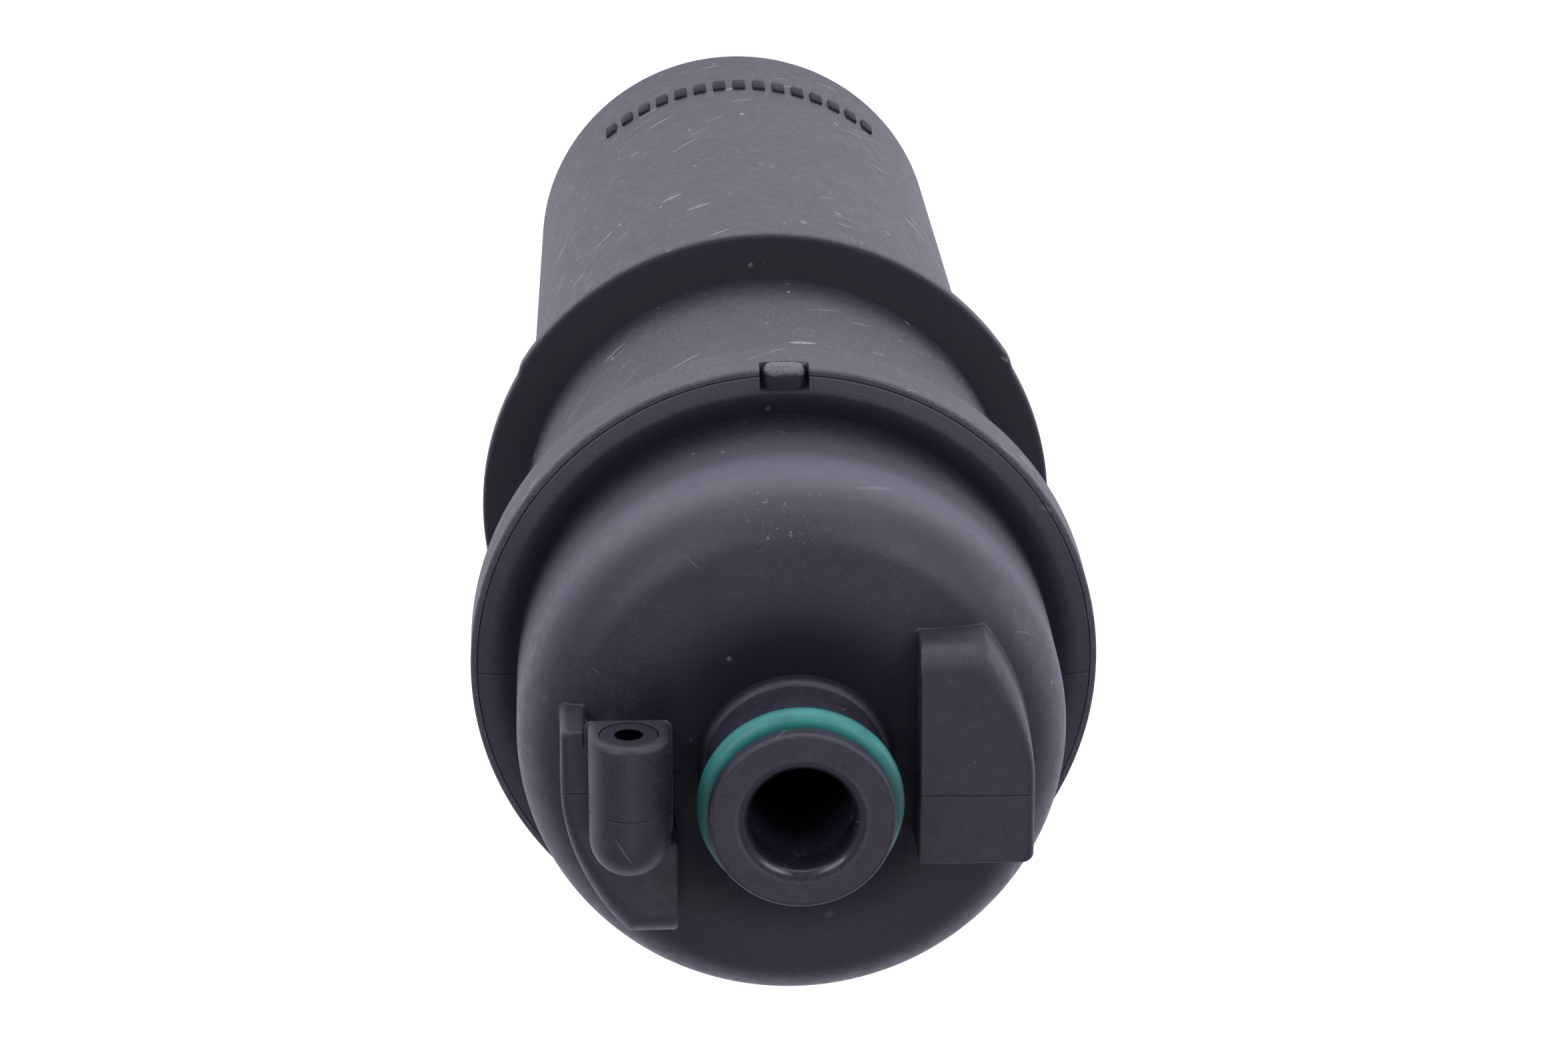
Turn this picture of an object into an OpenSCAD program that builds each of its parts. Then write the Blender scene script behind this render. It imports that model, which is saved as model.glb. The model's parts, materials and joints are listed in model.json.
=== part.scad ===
// Hydraulic oil filter cartridge: a closed plastic canister with a mid disc,
// a domed nozzle cap, and the filter element with its valves inside.
// It stands on its closed far end, with +Z along its axis towards the nozzle
// and +Y towards the key tab in the rim. The origin is the centre of the far face.

/* [Canister] */
// Radius of the canister at the far end
can_foot_r = 22.4; // [21.8:0.1:23]
// Radius of the canister where it meets the mid disc
can_mid_r = 24.3; // [23.8:0.1:24.6]
// Radius of the canister where it meets the collar
can_top_r = 24.7; // [24.6:0.1:25.2]
// Wall of the canister
can_wall = 1.8; // [1.4:0.1:1.9]
// Height of the front face of the mid disc
disc_z = 89.3; // [80:0.1:100]
// Thickness of the mid disc
disc_t = 2; // [1.4:0.1:3]
// Radius of the mid disc below the index steps
disc_r = 28.65; // [27.5:0.05:29]
// Radius of the mid disc between the index steps
disc_step_r = 29; // [28.7:0.05:29.4]
// Radius of the rim collar
collar_r = 29.45; // [29.2:0.05:30]
// Height of the back edge of the rim collar
collar_z = 125; // [123:0.1:126]

/* [Nozzle cap] */
// Height of the front face of the rim
rim_z = 132; // [131:0.1:133]
// Radius of the dome
dome_r = 25.1; // [24.5:0.1:25.4]
// Height at which the dome starts to round over
dome_shoulder_z = 146.4; // [144:0.1:147]
// Height of the dome's crown at the nozzle
dome_z = 155.6; // [154:0.1:156.2]
// Wall of the cap
cap_wall = 2.2; // [1.8:0.1:2.4]
// Height of the front faces of the two lugs
lug_z = 160.2; // [159:0.1:161]
// Outer radius of the lugs
lug_r = 21.15; // [20.5:0.05:21.3]
// Distance from the axis to the flat inner side of a lug
lug_inner_x = 10.8; // [10.4:0.1:11.2]
// Height of the nozzle's tip
nozzle_z = 167.7; // [167:0.1:170]
// Outer radius of the nozzle
nozzle_r = 8.3; // [8:0.05:8.4]
// Radius of the nozzle's bore
bore_r = 4.69; // [4.3:0.01:5]

/* [Lug boss] */
// Radius of the boss on the left lug
boss_r = 3.6; // [3.3:0.1:3.8]
// Radius of the hole in the boss insert
boss_hole_r = 1.2; // [1:0.05:1.5]

/* [Element] */
// Outer radius of the pleats
pleat_r = 20; // [19:0.1:20.2]
// Number of pleats
pleat_count = 44; // [30:1:50]
// Thickness of the filter medium
medium_t = 0.45; // [0.4:0.05:0.6]
// Lift of the bypass poppet off its seat
bypass_lift = 4; // [2:0.5:5]

/* [Hidden] */
$fn = 96;
eps = 0.01;
over = 1;                             // how far a cutter reaches past the face it starts from

// Canister
can_floor = 2.2;
can_floor_r = can_foot_r - can_wall + 0.2;
foot_round = 1.8;
disc_round = 0.5;
disc_step_angle = 59;                 // half angle of the larger sector, about +Y
collar_round = 0.6;
rim_reach = 1.3;                      // rounding of the cap's rim: across the face, and down its side
rim_drop = 0.6;
collar_top = rim_z - rim_drop;
collar_wall = 0.6;
lip_round = 0.35;
rim_gap = 0.05;
collar_inner_r = collar_r - collar_wall;
ledge_z = collar_z + 1.8;             // ledge inside the collar that the cap stands on
notch_w = 4.6;
notch_z = rim_z - 2.4;
notch_r = 27.4;
mark_count = 15;
mark_pitch = 5.6;                     // degrees between the raised marks
mark_size = [1.4, 0.65, 3];
mark_z = 13.4;
port_r = 7;
port_wall = 2;
port_top = 9;
rib_count = 6;
centring_rib = [2.9, 1.4, 12];        // ribs that centre the spring's seat

// Nozzle cap
neck_collar_r = 8.9;
crown_r = 20.5;                       // where the dome's crown meets its shoulder
crown_fall = 1.65;                    // how far the crown has fallen there
crown_slope = 2 * crown_fall / (crown_r - neck_collar_r);
// the shoulder is a piece of ellipse that ends where its slope is the crown's
shoulder_rise = dome_z - crown_fall - dome_shoulder_z;
shoulder_lean = crown_slope * (dome_r - crown_r) / shoulder_rise;
shoulder_end = acos(shoulder_lean / (1 - shoulder_lean));
shoulder_a = (dome_r - crown_r) / (1 - cos(shoulder_end));
shoulder_b = shoulder_rise / sin(shoulder_end);
cavity_r = dome_r - cap_wall;
cavity_a = 4.8;
cavity_b = 7.8;
cavity_shoulder_z = dome_shoulder_z - 2;
dome_fillet = 0.4;
cap_land_r = 26.9;
cap_land_drop = 3;
seal_d = 1.8;
skirt_r = can_top_r - can_wall - 0.15;
skirt_z = 121;
skirt_wall = 1.6;
tab_w = 3.8;
tab_r = collar_r + 0.1;
tab_drop = 0.5;
neck_collar_z = 157;
neck_collar_round = 0.9;
tip_round = 0.5;
bore_round = 1.2;
groove_z = [162.6, 166];
ring_section_r = 1.2;
ring_r = 8;
ring_z = groove_z[0] + ring_section_r + 0.05;
groove_r = ring_r - ring_section_r;
spigot_r = 6.4;
spigot_z = 123;

// Lugs
lug_root_z = 150;
lug_block_x = 21.2;
lug_flat_y = 7.75;
lug_edge = 0.8;
lug_chamfer = 0.3;
lug_end_round = 2.6;
right_lug_end_y = 12.8;
left_lug_end_y = 14.6;
left_lug_flat_y = 5.7;
boss_x = 15.1;
boss_z = 163.1;
boss_top_y = 6.7;
boss_foot_y = -3.05;
boss_floor_z = lug_z - 0.2;
pocket_y = 4.2;                       // the boss overhangs a pocket that starts here
rib_w = 2.2;
relief_y = -5.3;                      // the plate's inner side is relieved beside the boss from here on
insert_r = 2.6;
insert_depth = 8.5;
boss_hole_depth = 7;

// Element, from the bottom up
end_disc_r = 20.4;
end_disc_t = 2;
bottom_disc_z = 17;
potting_t = 1.6;
potting_inset = 0.2;
pleats_z = bottom_disc_z + end_disc_t + potting_t;
top_disc_z = 116;
pleats_top = top_disc_z - potting_t;
pleat_inner_r = 12.2;
core_r = 11.8;
core_wall = 1.2;
core_windows = 9;
core_columns = 8;
window_w = 5.2;
window_gap = 2;
window_margin = 4;
band_t = 0.45;
band_h = 3;
band_count = 3;
neck_r = 9;
neck_inner_r = 7.9;
neck_top = 125.5;
grommet_z = [spigot_z + 0.3, neck_top - 0.2];

// Bypass valve
valve_r = 9.2;
valve_wall = 1.3;
seat_hole_r = 5;
seat_z = bottom_disc_z + end_disc_t;
seat_gap = 0.05;
valve_length = 20;                    // valve body above its seat, without the poppet's lift
valve_top = seat_z + valve_length + bypass_lift;
valve_port = [4, 12];
valve_port_lift = 6;
retainer_t = 2;
retainer_slot = [2, 2.4];
poppet_r = 6.6;
poppet_t = 1.6;
seal_t = 1.2;
stem_r = 1.5;
stem_clearance = 0.05;
stem_proud = 1;
spring_wire = 0.9;
bypass_spring_r = 4.2;
bypass_coils = 6;

// Element spring and check membrane
seat_ring = [13.2, 18.4];
seat_plate_t = 1;
element_wire = 1.6;
element_spring_r = 15.8;
element_coils = 3;
membrane_r = 10.4;
membrane_t = 1.1;
cage_r = 12.4;
cage_wall = 1.2;
cage_lift = 2;
cage_top_t = 1.2;
cage_bottom = 5;
cage_slot = [5, 3.6];
cage_hub_r = 2.4;
side_port = [6, 2];
side_port_lift = 4.8;
foot_size = [3, 2];

// ---------- shared shapes ----------

// Points of an arc about c, of radii rx and ry, from angle a0 to a1
function arc(c, rx, ry, a0, a1, n = 12) =
    [for (i = [0 : n]) let (a = a0 + (a1 - a0) * i / n) [c[0] + rx * cos(a), c[1] + ry * sin(a)]];

module lathe(points) {
    rotate_extrude($fn = 180) polygon(points);
}

module ring(r_outer, r_inner, z0, z1) {
    translate([0, 0, z0])
        difference() {
            cylinder(r = r_outer, h = z1 - z0);
            translate([0, 0, -over]) cylinder(r = r_inner, h = z1 - z0 + 2 * over);
        }
}

// Round ring of a round section
module cord_ring(r, section_r, z) {
    translate([0, 0, z]) rotate_extrude($fn = 180) translate([r, 0]) circle(r = section_r, $fn = 40);
}

// Compression coil: its end turns are wound close, and the pitch opens between them
module coil(r, wire_r, z0, z1, turns, sides = 8, steps = 24) {
    close_pitch = 2.1 * wire_r;
    open_pitch = (z1 - z0 - 2 * wire_r - 2 * close_pitch) / turns;
    function height(u) =
        close_pitch * (min(u, 1) + max(u - turns - 1, 0)) + open_pitch * min(max(u - 1, 0), turns);
    rings = (turns + 2) * steps;
    function centre(i) = let (u = i / steps)
        [r * cos(360 * u), r * sin(360 * u), z0 + wire_r + height(u)];
    function loop(i) = let (u = i / steps, c = centre(i))
        [for (k = [0 : sides - 1]) let (a = 360 * k / sides, out = wire_r * cos(a))
            [c[0] + out * cos(360 * u), c[1] + out * sin(360 * u), c[2] + wire_r * sin(a)]];
    points = [for (i = [0 : rings]) each loop(i)];
    skin = [for (i = [0 : rings - 1]) for (k = [0 : sides - 1])
        let (a = i * sides + k, b = i * sides + (k + 1) % sides)
            each [[a, a + sides, b], [b, a + sides, b + sides]]];
    start = [for (k = [1 : sides - 2]) [0, k, k + 1]];
    last = rings * sides;
    finish = [for (k = [1 : sides - 2]) [last, last + k + 1, last + k]];
    polyhedron(points = points, faces = concat(skin, start, finish), convexity = 10);
}

// ---------- canister ----------

module canister_wall() {
    lathe(concat(
        [[0, 0]],
        arc([can_foot_r - foot_round, foot_round], foot_round, foot_round, -90, 0),
        [[can_mid_r, disc_z - disc_t]],
        arc([disc_r - disc_round, disc_z - disc_t + disc_round], disc_round, disc_round, -90, 0, 4),
        arc([disc_r - disc_round, disc_z - disc_round], disc_round, disc_round, 0, 90, 4),
        [[can_mid_r, disc_z], [can_top_r, collar_z]],
        arc([collar_r - collar_round, collar_z + collar_round], collar_round, collar_round, -90, 0, 6),
        arc([collar_r - lip_round, collar_top - lip_round], lip_round, lip_round, 0, 90, 4),
        [[collar_inner_r, collar_top], [collar_inner_r, ledge_z],
         [can_top_r - can_wall, ledge_z], [can_mid_r - can_wall, disc_z],
         [can_floor_r, can_floor], [0, can_floor]]));
}

// Raised band on the disc's edge, over the larger sector about +Y
module disc_step() {
    far = 2 * disc_step_r;
    intersection() {
        ring(disc_step_r, disc_r - 2 * disc_round, disc_z - disc_t + disc_round, disc_z - disc_round);
        translate([0, 0, disc_z - disc_t])
            linear_extrude(disc_t)
                polygon([[0, 0], [far * sin(disc_step_angle), far * cos(disc_step_angle)],
                         [0, 2 * far], [-far * sin(disc_step_angle), far * cos(disc_step_angle)]]);
    }
}

module raised_marks() {
    for (i = [0 : mark_count - 1])
        rotate([0, 0, (i - (mark_count - 1) / 2) * mark_pitch])
            translate([-mark_size[0] / 2, can_foot_r, mark_z])
                cube(mark_size);
}

// Cutter for the notch in the rim
module notch() {
    translate([-notch_w / 2, notch_r, notch_z])
        cube([notch_w, tab_r - notch_r + over, rim_z - notch_z + over]);
}

module canister() color([0.17, 0.17, 0.19]) {
    difference() {
        union() {
            canister_wall();
            disc_step();
            raised_marks();
            translate([0, 0, can_floor / 2]) cylinder(r = port_r + port_wall, h = port_top - can_floor / 2);
            for (i = [0 : rib_count - 1])
                rotate([0, 0, i * 360 / rib_count])
                    translate([seat_ring[1] + 0.2, -centring_rib[1] / 2, can_floor / 2]) cube(centring_rib);
        }
        translate([0, 0, -over]) cylinder(r = port_r, h = port_top + 2 * over);
        notch();
    }
}

// ---------- nozzle cap ----------

// Outline of the dome's crown, from its shoulder to the nozzle's foot
function crown_arc(steps = 10) = [
    for (i = [1 : steps])
        let (out = 1 - i / steps)
            [neck_collar_r + out * (crown_r - neck_collar_r), dome_z - crown_fall * out * out]
];

// Outline of the inside of the dome, from its crown to its side
function cavity_arc() = arc([cavity_r - cavity_a, cavity_shoulder_z], cavity_a, cavity_b, 88, 0, 12);

module dome_cavity() {
    lathe(concat([[0, rim_z], [0, dome_z - cap_wall]], cavity_arc(), [[cavity_r, rim_z]]));
}

module cap_shell() {
    lathe(concat(
        // outside, from the foot of the flange to the nozzle
        [[cap_land_r, ledge_z], [collar_inner_r - rim_gap, ledge_z]],
        arc([collar_inner_r - rim_gap - rim_reach, rim_z - rim_drop], rim_reach, rim_drop, 0, 90, 8),
        arc([dome_r + dome_fillet, rim_z + dome_fillet], dome_fillet, dome_fillet, 270, 180, 6),
        arc([dome_r - shoulder_a, dome_shoulder_z], shoulder_a, shoulder_b, 0, shoulder_end, 14),
        crown_arc(),
        arc([nozzle_r, neck_collar_z - neck_collar_round],
            neck_collar_r - nozzle_r, neck_collar_round, 0, 90, 6),
        [[nozzle_r, groove_z[0]], [groove_r, groove_z[0]],
         [groove_r, groove_z[1]], [nozzle_r, groove_z[1]]],
        arc([nozzle_r - tip_round, nozzle_z - tip_round], tip_round, tip_round, 0, 90, 4),
        // mouth, bore and inner spigot
        arc([bore_r + bore_round, nozzle_z - bore_round], bore_round, bore_round, 90, 180, 8),
        [[bore_r, spigot_z], [spigot_r, spigot_z], [spigot_r, dome_z - cap_wall]],
        // inside of the dome, back to the skirt
        cavity_arc(),
        [[cavity_r, rim_z], [skirt_r - skirt_wall, rim_z - cap_land_drop], [skirt_r - skirt_wall, skirt_z],
         [skirt_r, skirt_z], [skirt_r, ledge_z + seal_d], [cap_land_r, ledge_z + seal_d]]));
}

// Solid of revolution that gives a lug its round outer side and soft front edge
module lug_round() {
    lathe(concat(
        [[0, lug_root_z], [lug_r, lug_root_z]],
        arc([lug_r - lug_edge, lug_z - lug_edge], lug_edge, lug_edge, 0, 90, 6),
        [[0, lug_z]]));
}

// Slab across a lug: a small chamfer at its flat end, and rolled over at the other
module lug_slab(end_y, flat_y) {
    translate([lug_inner_x, 0, 0])
        rotate([90, 0, 90])
            linear_extrude(lug_block_x)
                polygon(concat(
                    [[-flat_y, lug_root_z], [end_y, lug_root_z]],
                    arc([end_y - lug_end_round, lug_z - lug_end_round],
                        lug_end_round, lug_end_round, 0, 90, 8),
                    [[lug_chamfer - flat_y, lug_z], [-flat_y, lug_z - lug_chamfer]]));
}

// Straight half of a lug, with its corner cut and its outer front edge rounded
module lug_block() {
    intersection() {
        translate([0, 0, lug_root_z])
            linear_extrude(lug_z - lug_root_z)
                polygon([[0, 0], [0, -lug_flat_y], [lug_block_x - lug_edge, -lug_flat_y],
                         [lug_block_x, lug_edge - lug_flat_y], [lug_block_x, 0]]);
        rotate([90, 0, 0])
            linear_extrude(lug_flat_y)
                polygon(concat(
                    [[0, lug_root_z], [lug_block_x, lug_root_z]],
                    arc([lug_block_x - lug_edge, lug_z - lug_edge], lug_edge, lug_edge, 0, 90, 6),
                    [[0, lug_z]]));
    }
}

module lug(end_y, flat_y) {
    intersection() {
        union() {
            lug_round();
            lug_block();
        }
        lug_slab(end_y, flat_y);
    }
}

module boss_body() {
    translate([-boss_x, boss_foot_y, boss_z]) {
        rotate([-90, 0, 0]) cylinder(r = boss_r, h = boss_top_y - boss_foot_y);
        sphere(r = boss_r);
    }
    // web that ties the boss to its lug
    translate([-boss_x - boss_r, boss_foot_y - boss_r / 4, boss_floor_z])
        cube([2 * boss_r, boss_top_y - boss_foot_y + boss_r / 4, boss_z - boss_floor_z]);
}

// The plate stops short of the boss's end, and only its outer rib runs on. Its inner side is cut
// back flush with the boss, so that the boss stands straight up from the dome there.
module left_lug() {
    difference() {
        rotate([0, 0, 180]) lug(left_lug_end_y, left_lug_flat_y);
        translate([rib_w - lug_block_x, pocket_y, lug_root_z - over]) cube([lug_block_x, lug_flat_y, lug_z]);
        translate([boss_r - boss_x, relief_y, lug_root_z - over]) cube([boss_x, lug_block_x, lug_z]);
    }
    boss_body();
}

module cap_tab() {
    translate([-tab_w / 2, notch_r - over, notch_z])
        cube([tab_w, tab_r - notch_r + over, rim_z - tab_drop - notch_z]);
}

module nozzle_cap() color([0.16, 0.16, 0.18]) {
    difference() {
        union() {
            difference() {
                cap_shell();
                notch();
            }
            cap_tab();
            difference() {
                union() {
                    lug(right_lug_end_y, lug_flat_y);
                    left_lug();
                }
                dome_cavity();
            }
        }
        translate([-boss_x, boss_top_y + over, boss_z])
            rotate([90, 0, 0]) cylinder(r = insert_r, h = insert_depth + over);
    }
}

module nozzle_o_ring() color([0.16, 0.5, 0.44]) {
    cord_ring(ring_r, ring_section_r, ring_z);
}

module cap_seal_ring() color([0.08, 0.08, 0.08]) {
    cord_ring((skirt_r + cap_land_r) / 2, seal_d / 2, ledge_z + seal_d / 2);
}

module boss_insert() color([0.2, 0.2, 0.22]) {
    translate([-boss_x, boss_top_y, boss_z])
        rotate([90, 0, 0])
            difference() {
                cylinder(r = insert_r, h = insert_depth);
                translate([0, 0, -over]) cylinder(r = boss_hole_r, h = boss_hole_depth + over);
            }
}

// ---------- filter element ----------

module top_end_disc() color([0.24, 0.24, 0.25]) {
    ring(end_disc_r, neck_inner_r, top_disc_z, top_disc_z + end_disc_t);
    ring(neck_r, neck_inner_r, top_disc_z + end_disc_t, neck_top);
}

module top_potting() color([0.75, 0.7, 0.55]) {
    ring(end_disc_r - potting_inset, core_r + potting_inset, pleats_top, top_disc_z);
}

module element_grommet() color([0.07, 0.07, 0.07]) {
    ring(neck_inner_r, spigot_r, grommet_z[0], grommet_z[1]);
}

// Star outline with its tips at tip_r and its valleys at valley_r
function star(count, tip_r, valley_r) =
    [for (i = [0 : 2 * count - 1])
        let (r = i % 2 == 0 ? tip_r : valley_r, a = 180 * i / count) [r * cos(a), r * sin(a)]];

module filter_pleats() color([0.86, 0.83, 0.74]) {
    // the pleat walls are steep, so their thickness takes a much larger radial step
    half_pitch = PI * (pleat_r + pleat_inner_r) / (2 * pleat_count);
    fold = medium_t * (pleat_r - pleat_inner_r) / half_pitch;
    translate([0, 0, pleats_z])
        linear_extrude(pleats_top - pleats_z)
            difference() {
                polygon(star(pleat_count, pleat_r, pleat_inner_r + fold));
                polygon(star(pleat_count, pleat_r - fold, pleat_inner_r));
            }
}

module pleat_bands() color([0.8, 0.76, 0.62]) {
    pitch = (pleats_top - pleats_z) / (band_count + 1);
    for (i = [1 : band_count])
        ring(pleat_r + band_t, pleat_r, pleats_z + i * pitch - band_h / 2, pleats_z + i * pitch + band_h / 2);
}

module core_tube() color([0.72, 0.72, 0.7]) {
    bottom = bottom_disc_z + end_disc_t;
    first = valve_top + window_margin + window_gap / 2;
    pitch = (top_disc_z - valve_top - 2 * window_margin) / core_windows;
    difference() {
        ring(core_r - potting_inset, core_r - core_wall - potting_inset, bottom, top_disc_z);
        for (row = [0 : core_windows - 1])
            for (column = [0 : core_columns / 2 - 1])
                rotate([0, 0, column * 360 / core_columns])
                    translate([-core_r - over, -window_w / 2, first + row * pitch])
                        cube([2 * (core_r + over), window_w, pitch - window_gap]);
    }
}

module bottom_potting() color([0.75, 0.7, 0.55]) {
    ring(end_disc_r - potting_inset, core_r + potting_inset, bottom_disc_z + end_disc_t, pleats_z);
}

module bottom_end_disc() color([0.24, 0.24, 0.25]) {
    ring(end_disc_r, valve_r, bottom_disc_z, bottom_disc_z + end_disc_t);
}

// ---------- bypass valve ----------

module bypass_body() color([0.3, 0.3, 0.32]) {
    difference() {
        union() {
            ring(valve_r, seat_hole_r, bottom_disc_z, seat_z);
            ring(valve_r, valve_r - valve_wall, seat_z, valve_top);
        }
        for (side = [0 : 1])
            rotate([0, 0, side * 90 + 45])
                translate([-valve_r - over, -valve_port[0] / 2, seat_z + valve_port_lift])
                    cube([2 * (valve_r + over), valve_port[0], valve_port[1]]);
    }
}

module bypass_retainer() color([0.35, 0.35, 0.37]) {
    difference() {
        ring(valve_r - valve_wall, stem_r + stem_clearance, valve_top - retainer_t, valve_top);
        for (i = [0 : 2])
            rotate([0, 0, i * 120 + 30])
                translate([bypass_spring_r + 1, -retainer_slot[1] / 2, valve_top - retainer_t - over])
                    cube([retainer_slot[0], retainer_slot[1], retainer_t + 2 * over]);
    }
}

module bypass_poppet() color([0.6, 0.58, 0.5]) {
    poppet_z = seat_z + seat_gap + seal_t;
    translate([0, 0, poppet_z]) cylinder(r = poppet_r, h = poppet_t);
    translate([0, 0, poppet_z]) cylinder(r = stem_r, h = valve_top - poppet_z + stem_proud);
}

module poppet_seal() color([0.1, 0.1, 0.1]) {
    translate([0, 0, seat_z + seat_gap]) cylinder(r = poppet_r - 0.2, h = seal_t);
}

module bypass_spring() color([0.7, 0.7, 0.72]) {
    poppet_top = seat_z + seat_gap + seal_t + poppet_t;
    coil(bypass_spring_r, spring_wire / 2, poppet_top + seat_gap, valve_top - retainer_t, bypass_coils);
}

// ---------- element spring and check membrane ----------

module spring_seat() color([0.5, 0.5, 0.52]) {
    ring(seat_ring[1], seat_ring[0], can_floor, can_floor + seat_plate_t);
}

module element_spring() color([0.7, 0.7, 0.72]) {
    coil(element_spring_r, element_wire / 2, can_floor + seat_plate_t, bottom_disc_z, element_coils, 10, 32);
}

module drainback_membrane() color([0.1, 0.1, 0.1]) {
    translate([0, 0, port_top]) cylinder(r = membrane_r, h = membrane_t);
}

module membrane_retainer() color([0.3, 0.3, 0.32]) {
    cage_top = port_top + membrane_t + cage_lift + cage_top_t;
    difference() {
        union() {
            ring(cage_r, cage_r - cage_wall, cage_bottom, cage_top);
            translate([0, 0, cage_top - cage_top_t]) cylinder(r = cage_r, h = cage_top_t);
            translate([0, 0, port_top + membrane_t]) cylinder(r = cage_hub_r, h = cage_lift + eps);
        }
        for (i = [0 : 5])
            rotate([0, 0, i * 60])
                translate([cage_r / 2 - over, -cage_slot[1] / 2, cage_top - cage_top_t - over])
                    cube([cage_slot[0], cage_slot[1], cage_top_t + 2 * over]);
        for (i = [0 : 3])
            rotate([0, 0, i * 90 + 45])
                translate([cage_r - cage_wall - over, -side_port[0] / 2, cage_bottom + side_port_lift])
                    cube([cage_wall + 2 * over, side_port[0], side_port[1]]);
    }
    // feet that grip the port
    for (i = [0 : 3])
        rotate([0, 0, i * 90])
            translate([port_r + port_wall, -foot_size[0] / 2, cage_bottom])
                cube([cage_r - cage_wall - port_r - port_wall + eps, foot_size[0], foot_size[1]]);
}

canister();
nozzle_cap();
nozzle_o_ring();
cap_seal_ring();
boss_insert();
top_end_disc();
top_potting();
element_grommet();
filter_pleats();
pleat_bands();
core_tube();
bottom_potting();
bottom_end_disc();
bypass_body();
bypass_retainer();
bypass_poppet();
poppet_seal();
bypass_spring();
element_spring();
spring_seat();
drainback_membrane();
membrane_retainer();
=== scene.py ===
import json
import math

import bmesh
import bpy
import numpy as np
from mathutils import Matrix, Vector


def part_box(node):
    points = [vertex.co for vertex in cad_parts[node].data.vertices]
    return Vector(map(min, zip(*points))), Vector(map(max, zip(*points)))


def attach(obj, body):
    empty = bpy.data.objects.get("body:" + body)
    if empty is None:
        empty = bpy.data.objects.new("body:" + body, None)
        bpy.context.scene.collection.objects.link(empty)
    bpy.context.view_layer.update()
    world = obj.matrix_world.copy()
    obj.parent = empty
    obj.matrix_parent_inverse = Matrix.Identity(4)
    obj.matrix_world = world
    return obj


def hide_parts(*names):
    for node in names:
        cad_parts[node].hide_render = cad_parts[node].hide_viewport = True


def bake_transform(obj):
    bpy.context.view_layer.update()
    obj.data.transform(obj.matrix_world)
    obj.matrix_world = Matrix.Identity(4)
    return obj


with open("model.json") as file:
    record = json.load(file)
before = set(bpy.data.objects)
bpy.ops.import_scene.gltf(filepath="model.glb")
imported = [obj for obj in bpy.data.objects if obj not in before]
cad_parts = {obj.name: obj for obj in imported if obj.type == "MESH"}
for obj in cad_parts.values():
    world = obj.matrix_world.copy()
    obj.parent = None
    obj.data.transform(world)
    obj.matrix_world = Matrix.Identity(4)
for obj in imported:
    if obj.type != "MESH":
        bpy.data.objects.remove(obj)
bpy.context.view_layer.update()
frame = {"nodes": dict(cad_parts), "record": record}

bl_info = {
    "name": "Oil Filter Cartridge",
    "version": (1, 0, 0),
    "blender": (4, 5, 0),
    "location": "3D View > Sidebar > Oil Filter",
    "description": "Builds a hydraulic oil filter cartridge: its shell, its element and their finishes",
    "category": "Object",
}

MM = 0.001
BODY = "filter"

# Levels and places that the packed model gives
CAN_LOW, CAN_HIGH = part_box("canister")
CAP_LOW, CAP_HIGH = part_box("nozzle_cap")
RING_LOW, RING_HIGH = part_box("nozzle_o_ring")
INSERT_LOW, INSERT_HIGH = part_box("boss_insert")
PLEATS_LOW, PLEATS_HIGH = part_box("filter_pleats")
COIL_LOW, COIL_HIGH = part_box("element_spring")
BYPASS_LOW, BYPASS_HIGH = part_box("bypass_spring")
BOSS_X = (INSERT_LOW.x + INSERT_HIGH.x) / 2
BOSS_Z = (INSERT_LOW.z + INSERT_HIGH.z) / 2
BOSS_TOP = INSERT_HIGH.y


def number(name, default, description, **kind):
    return bpy.props.FloatProperty(name=name, description=description, default=default, **kind)


def length(name, default, description):
    return number(name, default, description, unit="LENGTH")


def power(name, default, description):
    return number(name, default, description, unit="POWER")


def angle(name, degrees, description):
    return number(name, math.radians(degrees), description, unit="ROTATION")


def factor(name, default, description, top=1.0):
    return number(name, default, description, min=0, max=top, subtype="FACTOR")


def colour(name, default, description):
    return bpy.props.FloatVectorProperty(
        name=name, description=description, default=default, size=3, min=0, max=2, subtype="COLOR")


def point(name, default, description):
    return bpy.props.FloatVectorProperty(name=name, description=description, default=default, unit="LENGTH")


def count(name, default, description):
    return bpy.props.IntProperty(name=name, description=description, default=default, min=1)


# ---------------------------------------------------------------- settings


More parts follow.
